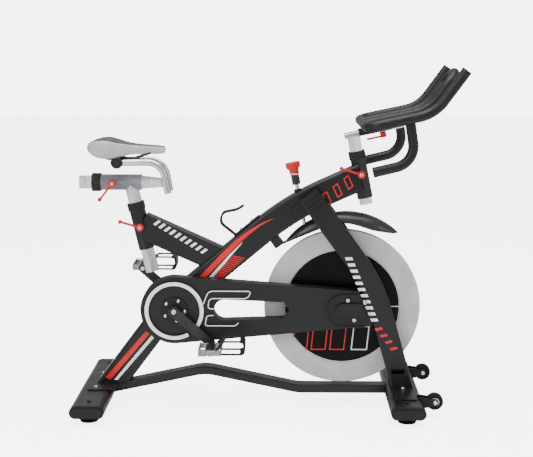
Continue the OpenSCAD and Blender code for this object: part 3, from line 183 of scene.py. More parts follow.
def disc_material():
    """Gloss black moulded flywheel cover, with a printed white hoop near its edge and light radial lines."""
    mat, tree, bsdf, place = surface("gloss_black_cover", Specular_IOR_Level=0.12)
    base = finish_with(tree, bsdf, place, ("030303", "060606"), 90, (0.3, 0.4), (2.0, 0.02))
    axis = add(tree, "ShaderNodeSeparateXYZ", {"Vector": place}).outputs
    x = sums(tree, "SUBTRACT", axis["X"], AXLE[0])
    z = sums(tree, "SUBTRACT", axis["Z"], AXLE[1])
    reach = sums(tree, "SQRT", sums(tree, "ADD", sums(tree, "MULTIPLY", x, x), sums(tree, "MULTIPLY", z, z)))
    hoop = sums(tree, "GREATER_THAN", reach, 0.1862)
    thin = sums(tree, "LESS_THAN", sums(tree, "ABSOLUTE", z), 0.0014)
    far = sums(tree, "GREATER_THAN", sums(tree, "ABSOLUTE", x), 0.150)
    mark = sums(tree, "MAXIMUM", hoop, sums(tree, "MULTIPLY", thin, far))
    tree.links.new(mixed(tree, mark, base, srgb("e6e6e6")), bsdf.inputs["Base Color"])
    return mat


def knob_material():
    """Red nylon mushroom knob over a black rubber boot, with a bright ring between."""
    mat, tree, bsdf, place = surface("red_knob_and_black_boot", Roughness=0.3)
    base = finish_with(tree, bsdf, place, ("b80006", "cc0209"), 16, (0.22, 0.34), (1.4, 0.03))
    low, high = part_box("brake_knob")
    z = add(tree, "ShaderNodeSeparateXYZ", {"Vector": place}).outputs["Z"]
    split = low.z + (high.z - low.z) * 0.5
    boot = sums(tree, "LESS_THAN", z, split)
    ring = sums(tree, "MULTIPLY", boot, sums(tree, "GREATER_THAN", z, split - 0.005))
    black = mixed(tree, boot, base, srgb("161617"))
    tree.links.new(mixed(tree, ring, black, srgb("c8c8ca")), bsdf.inputs["Base Color"])
    return mat


AXLE = (0.244, 0.323)
CRANK = (-0.299, 0.322)
PEDAL_RIGHT = (-0.17825, 0.21703)
PEDAL_LEFT = (-0.41975, 0.42697)

DISC = disc_material()
KNOB = knob_material()

FINISHES = {
    FRAME_PAINT: ("main_beam", "seat_beam", "seat_tube", "head_tube", "bb_shell", "fork_leg_right",
                  "fork_leg_left", "base_rail", "rear_stabiliser", "front_stabiliser", "brake_block",
                  "stem_carriage", "brake_leaf"),
    BLACK_PLASTIC: ("tube_collars", "stabiliser_caps", "wheel_brackets", "bottle_cage", "fender",
                    "knob_housing", "guard_inner", "spider", "sleeve_cap"),
    GUARD_PAINT: ("guard_outer",),
    RUBBER: ("transport_wheel_right", "transport_wheel_left", "foot_rear_right", "foot_rear_left",
             "foot_front_right", "foot_front_left"),
    BELT: ("drive_belt",),
    STEEL: ("frame_screws", "bb_bearings", "flywheel_axle", "flywheel_bearings", "bb_axle",
            "crank_bolts", "pedal_spindles", "brake_rod"),
    POST_METAL: ("seat_post", "seat_slider", "handlebar_post"),
    SLEEVE_GREY: ("seat_sleeve",),
    RIM: ("flywheel",),
    DISC: ("disc_covers",),
    PULLEY: ("flywheel_pulley", "drive_pulley"),
    CRANK_PAINT: ("crank_right", "crank_left", "saddle_clamp"),
    PEDAL_CAST: ("pedal_right", "pedal_left"),
    GRIP: ("handlebar",),
    LEVER_RED: ("seat_post_lever", "seat_slider_lever", "head_post_lever", "stem_lever"),
    KNOB: ("brake_knob",),
    FELT: ("brake_pad",),
}
for finish, names in FINISHES.items():
    for name in names:
        for place in NODES[name].material_slots:
            place.material = finish


# ---------------------------------------------------------------- mesh builders

def put(name, bm, material, body):
    """The bmesh as one object at the origin, riding on a body."""
    bmesh.ops.remove_doubles(bm, verts=bm.verts, dist=1e-6)
    bmesh.ops.recalc_face_normals(bm, faces=bm.faces)
    mesh = bpy.data.meshes.new(name)
    bm.to_mesh(mesh)
    bm.free()
    obj = bpy.data.objects.new(name, mesh)
    bpy.context.scene.collection.objects.link(obj)
    mesh.materials.append(material)
    if body:
        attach(obj, body)
    return obj


def join_rings(bm, rings, closed):
    """Skin over rings of equal size, with end caps unless they close on themselves."""
    around = len(rings[0])
    for i in range(len(rings) if closed else len(rings) - 1):
        one, two = rings[i], rings[(i + 1) % len(rings)]
        for k in range(around):
            j = (k + 1) % around
            bm.faces.new((one[k], one[j], two[j], two[k]))
    if not closed:
        bm.faces.new(rings[0])
        bm.faces.new(rings[-1][::-1])


def flat_strip(bm, path, widths, y, depth, closed=False):
    """A strip in an XZ plane along a path in metres, pushed out along Y by depth."""
    count = len(path)
    widths = widths if isinstance(widths, (list, tuple)) else [widths] * count
    sides = []
    for i, (x, z) in enumerate(path):
        before = path[i - 1] if (i or closed) else path[i]
        after = path[(i + 1) % count] if (i < count - 1 or closed) else path[i]
        a = Vector((x - before[0], z - before[1]))
        b = Vector((after[0] - x, after[1] - z))
        a = a.normalized() if a.length else b.normalized()
        b = b.normalized() if b.length else a
        mid = (a + b).normalized()
        reach = widths[i] / 2 / max(0.4, mid.dot(a))
        across = Vector((-mid.y, mid.x)) * reach
        sides.append([(x + across.x, z + across.y), (x - across.x, z - across.y)])
    rings = [[bm.verts.new((p[0], yy, p[1])) for p, yy in
              ((s[0], y), (s[1], y), (s[1], y + depth), (s[0], y + depth))] for s in sides]
    join_rings(bm, rings, closed)


def strip(name, paths, material, body, y, depth, closed=False):
    """Printed or raised lines: several (path, width) strips as one piece."""
    bm = bmesh.new()
    for path, width in paths:
        flat_strip(bm, path, width, y, depth, closed)
    return put(name, bm, material, body)


def prism(bm, outline, y, depth):
    """A flat area in an XZ plane, pushed out along Y by depth."""
    low = [bm.verts.new((x, y, z)) for x, z in outline]
    high = [bm.verts.new((x, y + depth, z)) for x, z in outline]
    bm.faces.new(low)
    bm.faces.new(high[::-1])
    for i in range(len(outline)):
        j = (i + 1) % len(outline)
        bm.faces.new((low[i], low[j], high[j], high[i]))


def patch(name, outlines, material, body, y, depth, slotname):
    """Flat printed areas with straight outlines, as one piece."""
    bm = bmesh.new()
    for outline in outlines:
        prism(bm, outline, y, depth)
    return put(name, bm, material, body)


def arc(centre, radius, start, stop, steps):
    return [(centre[0] + radius * math.cos(math.radians(start + (stop - start) * i / steps)),
             centre[1] + radius * math.sin(math.radians(start + (stop - start) * i / steps)))
            for i in range(steps + 1)]


def mm_path(points):
    return [(x * MM, z * MM) for x, z in points]


def rounded(points, radius, steps=6):
    """The polyline with its inner corners rounded."""
    out = [points[0]]
    for i in range(1, len(points) - 1):
        p, q, r = Vector(points[i - 1]), Vector(points[i]), Vector(points[i + 1])
        a, b = (p - q), (r - q)
        cut = min(radius, a.length * 0.49, b.length * 0.49)
        start, stop = q + a.normalized() * cut, q + b.normalized() * cut
        for k in range(steps + 1):
            t = k / steps
            out.append(tuple((1 - t) ** 2 * start + 2 * t * (1 - t) * q + t * t * stop))
    out.append(points[-1])
    return out


def turned(rings, steps=36):
    """A bmesh turned about Z from rings of (radius, height, sides); six sides make that ring a hexagon."""
    bm = bmesh.new()
    loops = []
    for radius, height, sides in rings:
        loop = []
        for i in range(steps):
            t = 2 * math.pi * i / steps
            r = radius
            if sides:
                part = 2 * math.pi / sides
                r *= math.cos(part / 2) / math.cos(t % part - part / 2)
            loop.append(bm.verts.new((r * math.cos(t), r * math.sin(t), height)))
        loops.append(loop)
    join_rings(bm, loops, False)
    return bm


def swept(bm, path, half_wide, half_thick, wide_way):
    """A strap of rectangular section along a 3-D path, its width along wide_way."""
    wide = Vector(wide_way).normalized()
    rings = []
    for i, p in enumerate(path):
        before, after = path[max(i - 1, 0)], path[min(i + 1, len(path) - 1)]
        ahead = (Vector(after) - Vector(before)).normalized()
        thick = ahead.cross(wide).normalized()
        rings.append([bm.verts.new(Vector(p) + wide * half_wide * u + thick * half_thick * v)
                      for u, v in ((1, 1), (-1, 1), (-1, -1), (1, -1))])
    join_rings(bm, rings, False)


def repeat_tree():
    """Geometry Nodes tree: a part copied to every place, turned by the place's own attribute."""
    tree = bpy.data.node_groups.new("repeat_part", "GeometryNodeTree")
    for label, kind, way in (("Places", "NodeSocketGeometry", "INPUT"), ("Part", "NodeSocketObject", "INPUT"),
                             ("Size", "NodeSocketFloat", "INPUT"), ("Finish", "NodeSocketMaterial", "INPUT"),
                             ("Mesh", "NodeSocketGeometry", "OUTPUT")):
        tree.interface.new_socket(name=label, in_out=way, socket_type=kind)
    given = add(tree, "NodeGroupInput").outputs
    turn = add(tree, "GeometryNodeInputNamedAttribute", {"Name": "turn"}, data_type="FLOAT_VECTOR")
    rotation = add(tree, "FunctionNodeEulerToRotation", {"Euler": turn.outputs["Attribute"]})
    part = add(tree, "GeometryNodeObjectInfo", {"Object": given["Part"]})
    copies = add(tree, "GeometryNodeInstanceOnPoints",
                 {"Points": given["Places"], "Instance": part.outputs["Geometry"],
                  "Rotation": rotation.outputs["Rotation"], "Scale": given["Size"]})
    solid = add(tree, "GeometryNodeRealizeInstances", {"Geometry": copies.outputs["Instances"]})
    painted = add(tree, "GeometryNodeSetMaterial", {"Geometry": solid.outputs["Geometry"],
                                                    "Material": given["Finish"]})
    add(tree, "NodeGroupOutput", {"Mesh": painted.outputs["Geometry"]})
    return tree


REPEAT = repeat_tree()
SOCKETS = {s.name: s.identifier for s in REPEAT.interface.items_tree if s.in_out == "INPUT"}


def repeats(name, part, places, turns, material, body, size=1.0):
    """Copies of a small mesh at the given places, made by the tree and kept as one mesh."""
    model = put(name + "_part", part, material, None)
    base = bpy.data.meshes.new(name + "_places")
    base.from_pydata(places, [], [])
    turn = base.attributes.new("turn", "FLOAT_VECTOR", "POINT")
    turn.data.foreach_set("vector", [v for t in turns for v in t])
    holder = bpy.data.objects.new(name + "_holder", base)
    bpy.context.scene.collection.objects.link(holder)
    nodes = holder.modifiers.new("repeat", "NODES")
    nodes.node_group = REPEAT
    nodes[SOCKETS["Part"]] = model
    nodes[SOCKETS["Size"]] = size
    nodes[SOCKETS["Finish"]] = material
    graph = bpy.context.evaluated_depsgraph_get()
    graph.update()
    mesh = bpy.data.meshes.new_from_object(holder.evaluated_get(graph))
    for spare in (holder, model):
        bpy.data.objects.remove(spare)
    made = bpy.data.objects.new(name, mesh)
    bpy.context.scene.collection.objects.link(made)
    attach(made, body)
    return made


# ---------------------------------------------------------------- printed marks

BEAM_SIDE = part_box("main_beam")[0].y
SEAT_BEAM_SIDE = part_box("seat_beam")[0].y
GUARD_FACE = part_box("guard_outer")[0].y
LEG_FACE = -0.066
INK = 0.0003


def both_sides(make, name, y, **rest):
    """The same print on the near face and, mirrored in depth, on the far face."""
    make(name + "_right", y=y - INK, depth=INK * 1.5, **rest)
    make(name + "_left", y=-y - INK * 0.5, depth=INK * 1.5, **rest)


def wedge(upper, lower):
    return mm_path(upper + lower[::-1])


# red and white flashes along the beam: lower piece on the foot, upper piece tapering to a point
RED_AREAS = [wedge([(-534, 84), (-398, 241)], [(-518, 76), (-386, 232)]),
             wedge([(-222, 422), (-153, 496), (-104, 544), (-56, 580), (-15, 603), (19, 616)],
                   [(-201, 420), (-122, 503), (-72, 552), (-23, 592), (-2, 604), (19, 615)])]
WHITE_AREAS = [wedge([(-505, 76), (-379, 227)], [(-494, 76), (-372, 219)]),
               wedge([(-191, 420), (-121, 499), (-80, 538)], [(-179, 418), (-116, 494), (-80, 537)])]
both_sides(patch, "beam_red_flash", BEAM_SIDE, outlines=RED_AREAS, material=RED_INK, body="frame",
           slotname="lever_red")
both_sides(patch, "beam_white_flash", BEAM_SIDE, outlines=WHITE_AREAS, material=WHITE_INK, body="frame",
           slotname="frame_paint")


def dash(width, height, slant):
    """A slanted bar in the XZ plane, centred, as a part to repeat."""
    bm = bmesh.new()
    corners = [(-width / 2 - slant, -height / 2), (width / 2 - slant, -height / 2),
               (width / 2 + slant, height / 2), (-width / 2 + slant, height / 2)]
    prism(bm, corners, -INK, INK * 1.5)
    return bm


def frame_outline(width, height, slant, line):
    """A slanted outline frame in the XZ plane, centred, as a part to repeat."""
    bm = bmesh.new()
    flat_strip(bm, [(-width / 2 - slant, -height / 2), (width / 2 - slant, -height / 2),
                    (width / 2 + slant, height / 2), (-width / 2 + slant, height / 2)],
               line, -INK, INK * 1.5, closed=True)
    return bm


def along(start, stop, count, y):
    """Places spread evenly between two XZ points in mm."""
    return [((start[0] + (stop[0] - start[0]) * i / (count - 1)) * MM, y,
             (start[1] + (stop[1] - start[1]) * i / (count - 1)) * MM) for i in range(count)]


def tilt(start, stop):
    """Turn about Y that lays a part's X along start to stop."""
    return -math.atan2(stop[1] - start[1], stop[0] - start[0])


# thirteen level hatch lines on the beam's lower half
HATCH = along((-164, 421), (-92, 489), 13, BEAM_SIDE)
repeats("beam_hatch_right", dash(0.038, 0.0032, 0.0), HATCH, [(0, 0.2, 0)] * 13, RED_INK, "frame")
repeats("beam_hatch_left", dash(0.038, 0.0032, 0.0), [(x, -y, z) for x, y, z in HATCH], [(0, 0.2, 0)] * 13,
        RED_INK, "frame")

# rows of slanted bars where the real bike carries lettering
LEG_RUN = ((262, 492), (346, 291))
RED_RUN = ((361, 261), (410, 196))
SEAT_RUN = ((-356, 600), (-205, 508))
for side, sign in (("right", 1), ("left", -1)):
    turn = (0, tilt(*LEG_RUN), 0)
    repeats("leg_bars_" + side, dash(0.010, 0.021, 0.004), along(*LEG_RUN, 11, LEG_FACE * sign), [turn] * 11,
            WHITE_INK, "frame")
    turn = (0, tilt(*RED_RUN), 0)
    repeats("leg_red_bars_" + side, dash(0.010, 0.021, 0.004), along(*RED_RUN, 4, LEG_FACE * sign), [turn] * 4,
            RED_INK, "frame")
    turn = (0, tilt(*SEAT_RUN), 0)
    repeats("seat_beam_bars_" + side, dash(0.009, 0.020, 0.004), along(*SEAT_RUN, 10, SEAT_BEAM_SIDE * sign),
            [turn] * 10, WHITE_INK, "frame")
    turn = (0, tilt((190, 680), (262, 734)), 0)
    repeats("head_frames_" + side, frame_outline(0.017, 0.036, 0.004, 0.0035),
            along((191, 681), (259, 733), 3, BEAM_SIDE * sign), [turn] * 3, RED_INK, "frame")

# outlined bars on the lower half of the wheel cover, in place of lettering
DISC_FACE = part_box("disc_covers")[0].y
repeats("cover_red_frames", frame_outline(0.046, 0.078, 0.004, 0.0035),
        along((110, 216), (232, 216), 3, DISC_FACE), [(0, 0, 0)] * 3, RED_INK, "flywheel")
repeats("cover_white_frames", frame_outline(0.050, 0.078, 0.004, 0.0035), [(0.305, DISC_FACE, 0.216)], [(0, 0, 0)],
        WHITE_INK, "flywheel")

# white hoop round the crank on the guard, and the outline that follows the guard window
HOOP = 0.089
strip("guard_hoop", [(arc(CRANK, HOOP, -45, 300, 96), 0.012)], WHITE_INK, "frame",
      GUARD_FACE - INK, INK * 1.5)
WINDOW_LINES = [
    (rounded(mm_path([(-205, 345), (-188, 388), (-50, 388), (-62, 364), (-186, 364), (-190, 330), (-168, 330)]),
             0.014), 0.0028),
    (rounded(mm_path([(-172, 308), (-194, 308), (-200, 274), (-102, 274), (-92, 284)]), 0.010), 0.0028),
]
strip("guard_window_lines", WINDOW_LINES, WHITE_INK, "frame", GUARD_FACE - INK, INK * 1.5)

# raised ovals on the guard round the wheel axle
OVALS = [(arc(AXLE, 0.052, 90, 270, 40), 0.0035), (arc(AXLE, 0.023, 90, 270, 28), 0.003)]
OVALS = [([(path[0][0] + 0.055, path[0][1])] + path + [(path[-1][0] + 0.070, path[-1][1])], w)
         for path, w in OVALS]
strip("guard_ribs", OVALS, GUARD_PAINT, "frame", GUARD_FACE - 0.0012, 0.0016)


# ---------------------------------------------------------------- screws and hub caps

def screw_head(radius):
    """Button head with a hexagon socket, its axis along Z."""
    return turned([(radius, 0.0, 0), (radius, radius * 0.18, 0), (radius * 0.86, radius * 0.46, 0),
                   (radius * 0.62, radius * 0.6, 0), (radius * 0.5, radius * 0.62, 6),
                   (radius * 0.48, radius * 0.25, 6)])


OUTWARD_NEAR = (math.pi / 2, 0, 0)
OUTWARD_FAR = (-math.pi / 2, 0, 0)


SEAT_LEVER = (-0.40962, 0.58737)
SLIDER_LEVER = (-0.496, 0.7295)
HEAD_LEVER = (0.29951, 0.75931)
for name, spot in (("seat_post_lever", SEAT_LEVER), ("seat_slider_lever", SLIDER_LEVER),
                   ("head_post_lever", HEAD_LEVER)):
    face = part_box(name)[0].y
    repeats(name + "_screw", screw_head(0.0062), [(spot[0], face + 0.0004, spot[1])], [OUTWARD_NEAR],
            STEEL, name)

for side, sign in (("right", -1), ("left", 1)):
    low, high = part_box("transport_wheel_" + side)
    middle = (low + high) / 2
    out = low.y if sign < 0 else high.y
    cap = turned([(0.0135, 0, 0), (0.0135, 0.0012, 0), (0.0125, 0.002, 0), (0.0062, 0.002, 0),
                  (0.0058, 0.0036, 0), (0.003, 0.0042, 0)])
    repeats("hub_cap_" + side, cap, [(middle.x, out, middle.z)],
            [OUTWARD_NEAR if sign < 0 else OUTWARD_FAR], STEEL, "transport_wheel_" + side)


# ---------------------------------------------------------------- saddle

# Stations from back to nose, in mm: x, half width, crown height, seam height, lower edge height.
SADDLE = [
    (-579, 30, 853, 849, 838), (-572, 54, 859, 853, 830), (-558, 70, 867, 862, 820),
    (-540, 76, 872, 867, 811), (-520, 77, 874, 869, 808), (-500, 72, 872, 866, 808),
    (-480, 60, 867, 860, 811), (-460, 46, 861, 856, 815), (-440, 35, 857, 852, 819),
    (-415, 28, 853, 849, 821), (-385, 24, 851, 847, 820), (-355, 22, 849, 846, 818),
    (-335, 20, 848, 844, 818), (-323, 16, 845, 841, 821),
]
HALF, SEAM = 1, 3  # columns of SADDLE
SEAM_DEPTH = 1.1  # how far the seam is drawn in, in mm


def saddle_ring(station):
    """Half section from the underside to the crown and back, as (y, z) in mm."""
    x, wide, crown, seam, low = station
    inner = max(6.0, wide * 0.55)
    half = [(inner, low + 5), (wide * 0.86, low), (wide * 0.98, low + 4),
            (wide, (low + seam) / 2 + 2), (wide * 0.97, seam - 1.5), (wide * 0.9, seam + 3),
            (wide * 0.66, crown - 1.5), (wide * 0.34, crown), (wide * 0.1, crown - 1.5)]
    ring = [(-y, z) for y, z in half] + [(y, z) for y, z in half[::-1]]
    return [(x * MM, y * MM, z * MM) for y, z in ring]


def saddle_shell(shrink):
    """Closed body of the saddle, pulled in by shrink mm so that it can be puffed up again."""
    bm = bmesh.new()
    rings = [[bm.verts.new(p) for p in saddle_ring(s)] for s in SADDLE]
    join_rings(bm, rings, False)
    bmesh.ops.recalc_face_normals(bm, faces=bm.faces)
    bm.normal_update()
    shift = [(v, v.normal * shrink * MM) for v in bm.verts]
    for v, step in shift:
        v.co -= step
    return bm


def settle(obj):
    """Applies every modifier of obj by taking its evaluated mesh."""
    graph = bpy.context.evaluated_depsgraph_get()
    graph.update()
    mesh = bpy.data.meshes.new_from_object(obj.evaluated_get(graph))
    obj.modifiers.clear()
    old = obj.data
    obj.data = mesh
    bpy.data.meshes.remove(old)


def saddle_at(x, column):
    """A column of the saddle's stations at x, both in metres."""
    spots = [(s[0] * MM, s[column] * MM) for s in SADDLE]
    for (x0, v0), (x1, v1) in zip(spots, spots[1:]):
        if x <= x1:
            return v0 + max(0.0, (x - x0) / (x1 - x0)) * (v1 - v0)
    return spots[-1][1]


def saddle_material():
    """Synthetic leather stretched over foam: light grey sides, dark grained top, a darker sewn seam between."""
    mat, tree, bsdf, place = surface("synthetic_leather_cover", Specular_IOR_Level=0.4)
    # pebbles of 2 mm, drawn coarser than the real 0.8 mm so that they show
    cells = add(tree, "ShaderNodeTexVoronoi", {"Vector": place, "Scale": 500.0}).outputs["Distance"]
    folds = grain(tree, place, 26, 3.0)
    height = sums(tree, "ADD", sums(tree, "MULTIPLY", cells, 0.35), sums(tree, "MULTIPLY", folds, 1.2))
    bump = add(tree, "ShaderNodeBump", {"Height": height, "Distance": 0.0004, "Strength": 0.8})
    tree.links.new(bump.outputs["Normal"], bsdf.inputs["Normal"])
    top = add(tree, "ShaderNodeAttribute", attribute_name="top").outputs["Fac"]
    mottle = spread_out(tree, folds, 0.0, 1.0)
    side = mixed(tree, mottle, srgb("a7a8aa"), srgb("b6b7b9"))
    cover = mixed(tree, mottle, srgb("3c3d40"), srgb("4a4b4e"))
    part = spread_out(tree, top, 0.0, 1.0, 0.4, 0.6)
    tree.links.new(mixed(tree, part, side, cover), bsdf.inputs["Base Color"])
    tree.links.new(spread_out(tree, cells, 0.48, 0.6, 0.1, 0.7), bsdf.inputs["Roughness"])
    return mat


SADDLE_COVER = saddle_material()


def make_saddle():
    saddle = put("saddle_cushion", saddle_shell(1.2), SADDLE_COVER, None)
    smooth = saddle.modifiers.new("round", "SUBSURF")
    smooth.levels = smooth.render_levels = 2
    settle(saddle)
    remesh = saddle.modifiers.new("even", "REMESH")
    remesh.mode = "VOXEL"
    remesh.voxel_size = 0.0045
    settle(saddle)
    before = [v.co.copy() for v in saddle.data.vertices]
    cloth = saddle.modifiers.new("puff", "CLOTH")
    cloth.settings.use_pressure = True
    cloth.settings.uniform_pressure_force = 4.0
    cloth.settings.effector_weights.gravity = 0.0
    cloth.settings.tension_stiffness = 60.0
    cloth.settings.compression_stiffness = 60.0
    cloth.settings.bending_stiffness = 2.0
    cloth.point_cache.frame_start = 1
    cloth.point_cache.frame_end = 20
    scene = bpy.context.scene
    for step in range(1, 21):
        scene.frame_set(step)
    settle(saddle)
    scene.frame_set(1)
    for v, was in zip(saddle.data.vertices, before):
        move = v.co - was
        if move.length > 0.002:
            v.co = was + move.normalized() * 0.002
    soft = saddle.modifiers.new("soften", "SUBSURF")
    soft.levels = soft.render_levels = 1
    settle(saddle)
    mesh = saddle.data
    for v in mesh.vertices:
        seam = saddle_at(v.co.x, SEAM)
        gap = v.co.z - seam
        if abs(gap) < 0.0022 and abs(v.co.y) > 0.006:
            v.co -= v.normal * SEAM_DEPTH * MM * (1 - abs(gap) / 0.0022)
    top = mesh.attributes.new("top", "FLOAT", "POINT")
    top.data.foreach_set("value", [min(1.0, max(0.0, 0.5 + (v.co.z - saddle_at(v.co.x, SEAM)) / 0.003))
                                   for v in mesh.vertices])
    mesh.materials.clear()
    mesh.materials.append(SADDLE_COVER)
    for face in mesh.polygons:
        face.use_smooth = True
    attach(saddle, "saddle")
    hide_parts("saddle")
    return saddle


make_saddle()

# stitches along the seam, on both sides: short raised threads
# Polyester sewing thread, dark grey twist.
THREAD = simple("polyester_thread", ("2a2b2d", "3a3b3e"), 2, (0.6, 0.7), (1.1, 0.1))
STITCH_PITCH = 0.007
stitch_places, stitch_turns = [], []
x = -0.560
while x < -0.332:
    ahead = x + 0.002
    for side in (-1, 1):
        y0, y1 = saddle_at(x, HALF) * 0.955 * side, saddle_at(ahead, HALF) * 0.955 * side
        z0, z1 = saddle_at(x, SEAM) + 0.0012, saddle_at(ahead, SEAM) + 0.0012
        stitch_places.append((x, y0, z0))
        stitch_turns.append((0, -math.atan2(z1 - z0, ahead - x), math.atan2(y1 - y0, ahead - x)))
    x += STITCH_PITCH
thread = turned([(0.0003, -0.0022, 0), (0.0006, -0.0016, 0), (0.0006, 0.0016, 0), (0.0003, 0.0022, 0)], 10)
bmesh.ops.rotate(thread, verts=thread.verts, cent=(0, 0, 0), matrix=Matrix.Rotation(math.pi / 2, 3, "Y"))
repeats("saddle_stitches", thread, stitch_places, stitch_turns, THREAD, "saddle")


# ---------------------------------------------------------------- pedal straps

def block(bm, low, high):
    """A box between two corners, joined to the bmesh."""
    made = bmesh.ops.create_cube(bm, size=1.0)["verts"]
    for v in made:
        v.co = Vector([low[k] + (high[k] - low[k]) * (v.co[k] + 0.5) for k in range(3)])


def eased(obj, width, segments=2):
    """Soft edges from a bevel, kept in the mesh."""
    bevel = obj.modifiers.new("edges", "BEVEL")
    bevel.width = width
    bevel.segments = segments
    bevel.limit_method = "ANGLE"
    settle(obj)
    return obj


def pedal(side, centre):
    """Cast cage pedal: toothed end plates, ribs, axle barrel and cap, with a nylon toe clip and its strap."""
    node = "pedal_" + side
    low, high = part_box(node)
    cx, cz = centre
    y0, y1 = low.y + 0.001, high.y - 0.001
    mid = (y0 + y1) / 2
    inner = y1 if side == "right" else y0
    outer = y0 if side == "right" else y1
    bm = bmesh.new()
    for x in (cx - 0.0365, cx + 0.0325):
        block(bm, (x, y0, cz - 0.0105), (x + 0.004, y1, cz + 0.0075))
        for i in range(9):
            y = y0 + (y1 - y0) * (i + 0.5) / 9
            block(bm, (x, y - 0.003, cz + 0.006), (x + 0.004, y + 0.003, cz + 0.0115))
    for y in (y0, y1 - 0.005):
        block(bm, (cx - 0.036, y, cz - 0.0105), (cx + 0.036, y + 0.005, cz + 0.0075))
    for x in (cx - 0.0165, cx + 0.0125):
        block(bm, (x, y0, cz - 0.008), (x + 0.004, y1, cz + 0.005))
    body = put("pedal_body_" + side, bm, PEDAL_CAST, None)
    eased(body, 0.0012)
    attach(body, node)
    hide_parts(node)
    barrel = turned([(0.0115, 0, 0), (0.0115, 0.07, 0), (0.0135, 0.074, 0), (0.0135, 0.088, 0),
                     (0.0085, 0.0905, 0), (0.0075, 0.0895, 6)])
    turn = 90 if side == "right" else -90
    bmesh.ops.rotate(barrel, verts=barrel.verts, cent=(0, 0, 0), matrix=Matrix.Rotation(math.radians(turn), 3, "X"))
    bmesh.ops.translate(barrel, verts=barrel.verts, vec=(cx, inner + (0.001 if side == "left" else -0.001), cz))
    put("pedal_barrel_" + side, barrel, BLACK_PLASTIC, node)
    # grey square frame that holds the reflector on the outer end
    bm = bmesh.new()
    face = outer - 0.0015 if side == "right" else outer - 0.0005
    flat_strip(bm, [(cx - 0.034, cz - 0.009), (cx - 0.014, cz - 0.009), (cx - 0.014, cz + 0.010), (cx - 0.034, cz + 0.010)],
               0.004, face, 0.002, closed=True)
    put("pedal_frame_" + side, bm, SLEEVE_GREY, node)
    # toe clip: two rails run forward to a rounded front, then back over the foot
    bm = bmesh.new()
    reach = high.x - cx
    top = high.z - cz
    run = rounded([(cx + 0.030, cz - 0.009), (cx + reach - 0.004, cz - 0.009), (cx + reach - 0.004, cz + top - 0.004),
                   (cx + 0.040, cz + top - 0.004)], 0.014)
    for y in (y0 + 0.016, y1 - 0.016):
        swept(bm, [(x, y, z) for x, z in run], 0.0045, 0.0024, (0, 1, 0))
    front = [p for p in run if p[0] > cx + reach - 0.022]
    swept(bm, [(x, mid, z) for x, z in front], (y1 - y0) / 2 - 0.012, 0.0034, (0, 1, 0))
    clip = put("toe_clip_" + side, bm, BLACK_PLASTIC, None)
    eased(clip, 0.0006, 1)
    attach(clip, node)
    # strap loop over the foot, from one side plate to the other
    path = []
    wide = (y1 - y0) / 2 - 0.002
    rise = top - 0.002
    for i in range(33):
        t = math.pi * i / 32
        lift = math.sin(t) ** 0.55
        path.append((cx + 0.020 + 0.022 * lift, mid - wide * math.cos(t), cz + 0.004 + (rise - 0.004) * lift))
    bm = bmesh.new()
    swept(bm, path, 0.0065, 0.0010, (1, 0, 0))
    strap = put("toe_strap_" + side, bm, STRAP, None)
    eased(strap, 0.0004, 1)
    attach(strap, node)


pedal("right", PEDAL_RIGHT)
pedal("left", PEDAL_LEFT)


# ---------------------------------------------------------------- fender, bottle hook, clamp caps

# Ridge runs on a circle in the XZ plane; half width and drop of the edge change along it, in mm.
FENDER_MID = (254, 394)
FENDER_R = 243
FENDER_RUN = [(60, 6, 1), (80, 22, 12), (100, 30, 24), (125, 34, 30), (150, 36, 31), (180, 36, 31), (215, 37, 32),
              (250, 41, 35), (280, 44, 38), (310, 45.5, 42), (335, 45, 43), (360, 41, 38), (385, 31, 29),
              (405, 20, 19), (418, 9, 8), (423, 3, 2)]
ROD_AT = (119.5, 0.0)


def fender():
    """Thin moulded mudguard, a leaf shape bent over the flywheel, with a hole for the brake rod."""
    bm = bmesh.new()
    across = 20
    rows = []
    for a, b in zip(FENDER_RUN, FENDER_RUN[1:]):
        for k in range(3):
            rows.append([a[i] + (b[i] - a[i]) * k / 3 for i in range(3)])
    rows.append(list(FENDER_RUN[-1]))
    grid = []
    for x, half, drop in rows:
        ridge = FENDER_MID[1] + math.sqrt(FENDER_R ** 2 - (x - FENDER_MID[0]) ** 2)
        line = []
        for i in range(across + 1):
            t = math.pi * (i / across - 0.5)
            line.append(bm.verts.new((x * MM, half * math.sin(t) * MM, (ridge - drop * (1 - math.cos(t))) * MM)))
        grid.append(line)
    for one, two in zip(grid, grid[1:]):
        for i in range(across):
            middle = (one[i].co + two[i + 1].co) / 2
            if math.hypot(middle.x / MM - ROD_AT[0], middle.y / MM - ROD_AT[1]) > 8.5:
                bm.faces.new((one[i], two[i], two[i + 1], one[i + 1]))
    shell = put("fender_shell", bm, FENDER_PLASTIC, None)
    thick = shell.modifiers.new("wall", "SOLIDIFY")
    thick.thickness = 0.003
    thick.offset = -1.0
    soft = shell.modifiers.new("soft", "SUBSURF")
    soft.levels = soft.render_levels = 1
    settle(shell)
    for face in shell.data.polygons:
        face.use_smooth = True
    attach(shell, "frame")
    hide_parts("fender")
    bm = bmesh.new()
    block(bm, (0.201, -0.0355, 0.6105), (0.219, 0.0355, 0.6155))
    bar = put("fender_bar", bm, BLACK_PLASTIC, None)
    eased(bar, 0.0012)
    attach(bar, "frame")


fender()

# bottle hook: thick moulded strap with a rounded end
bm = bmesh.new()
HOOK = rounded(mm_path([(-103, 558), (-153, 598), (-146, 632), (-98, 641), (-77, 655)]), 0.024, 10)
swept(bm, [(x, 0.0, z) for x, z in HOOK], 0.0125, 0.0036, (0, 1, 0))
hook = put("bottle_hook", bm, BLACK_PLASTIC, None)
eased(hook, 0.0018, 3)
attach(hook, "frame")

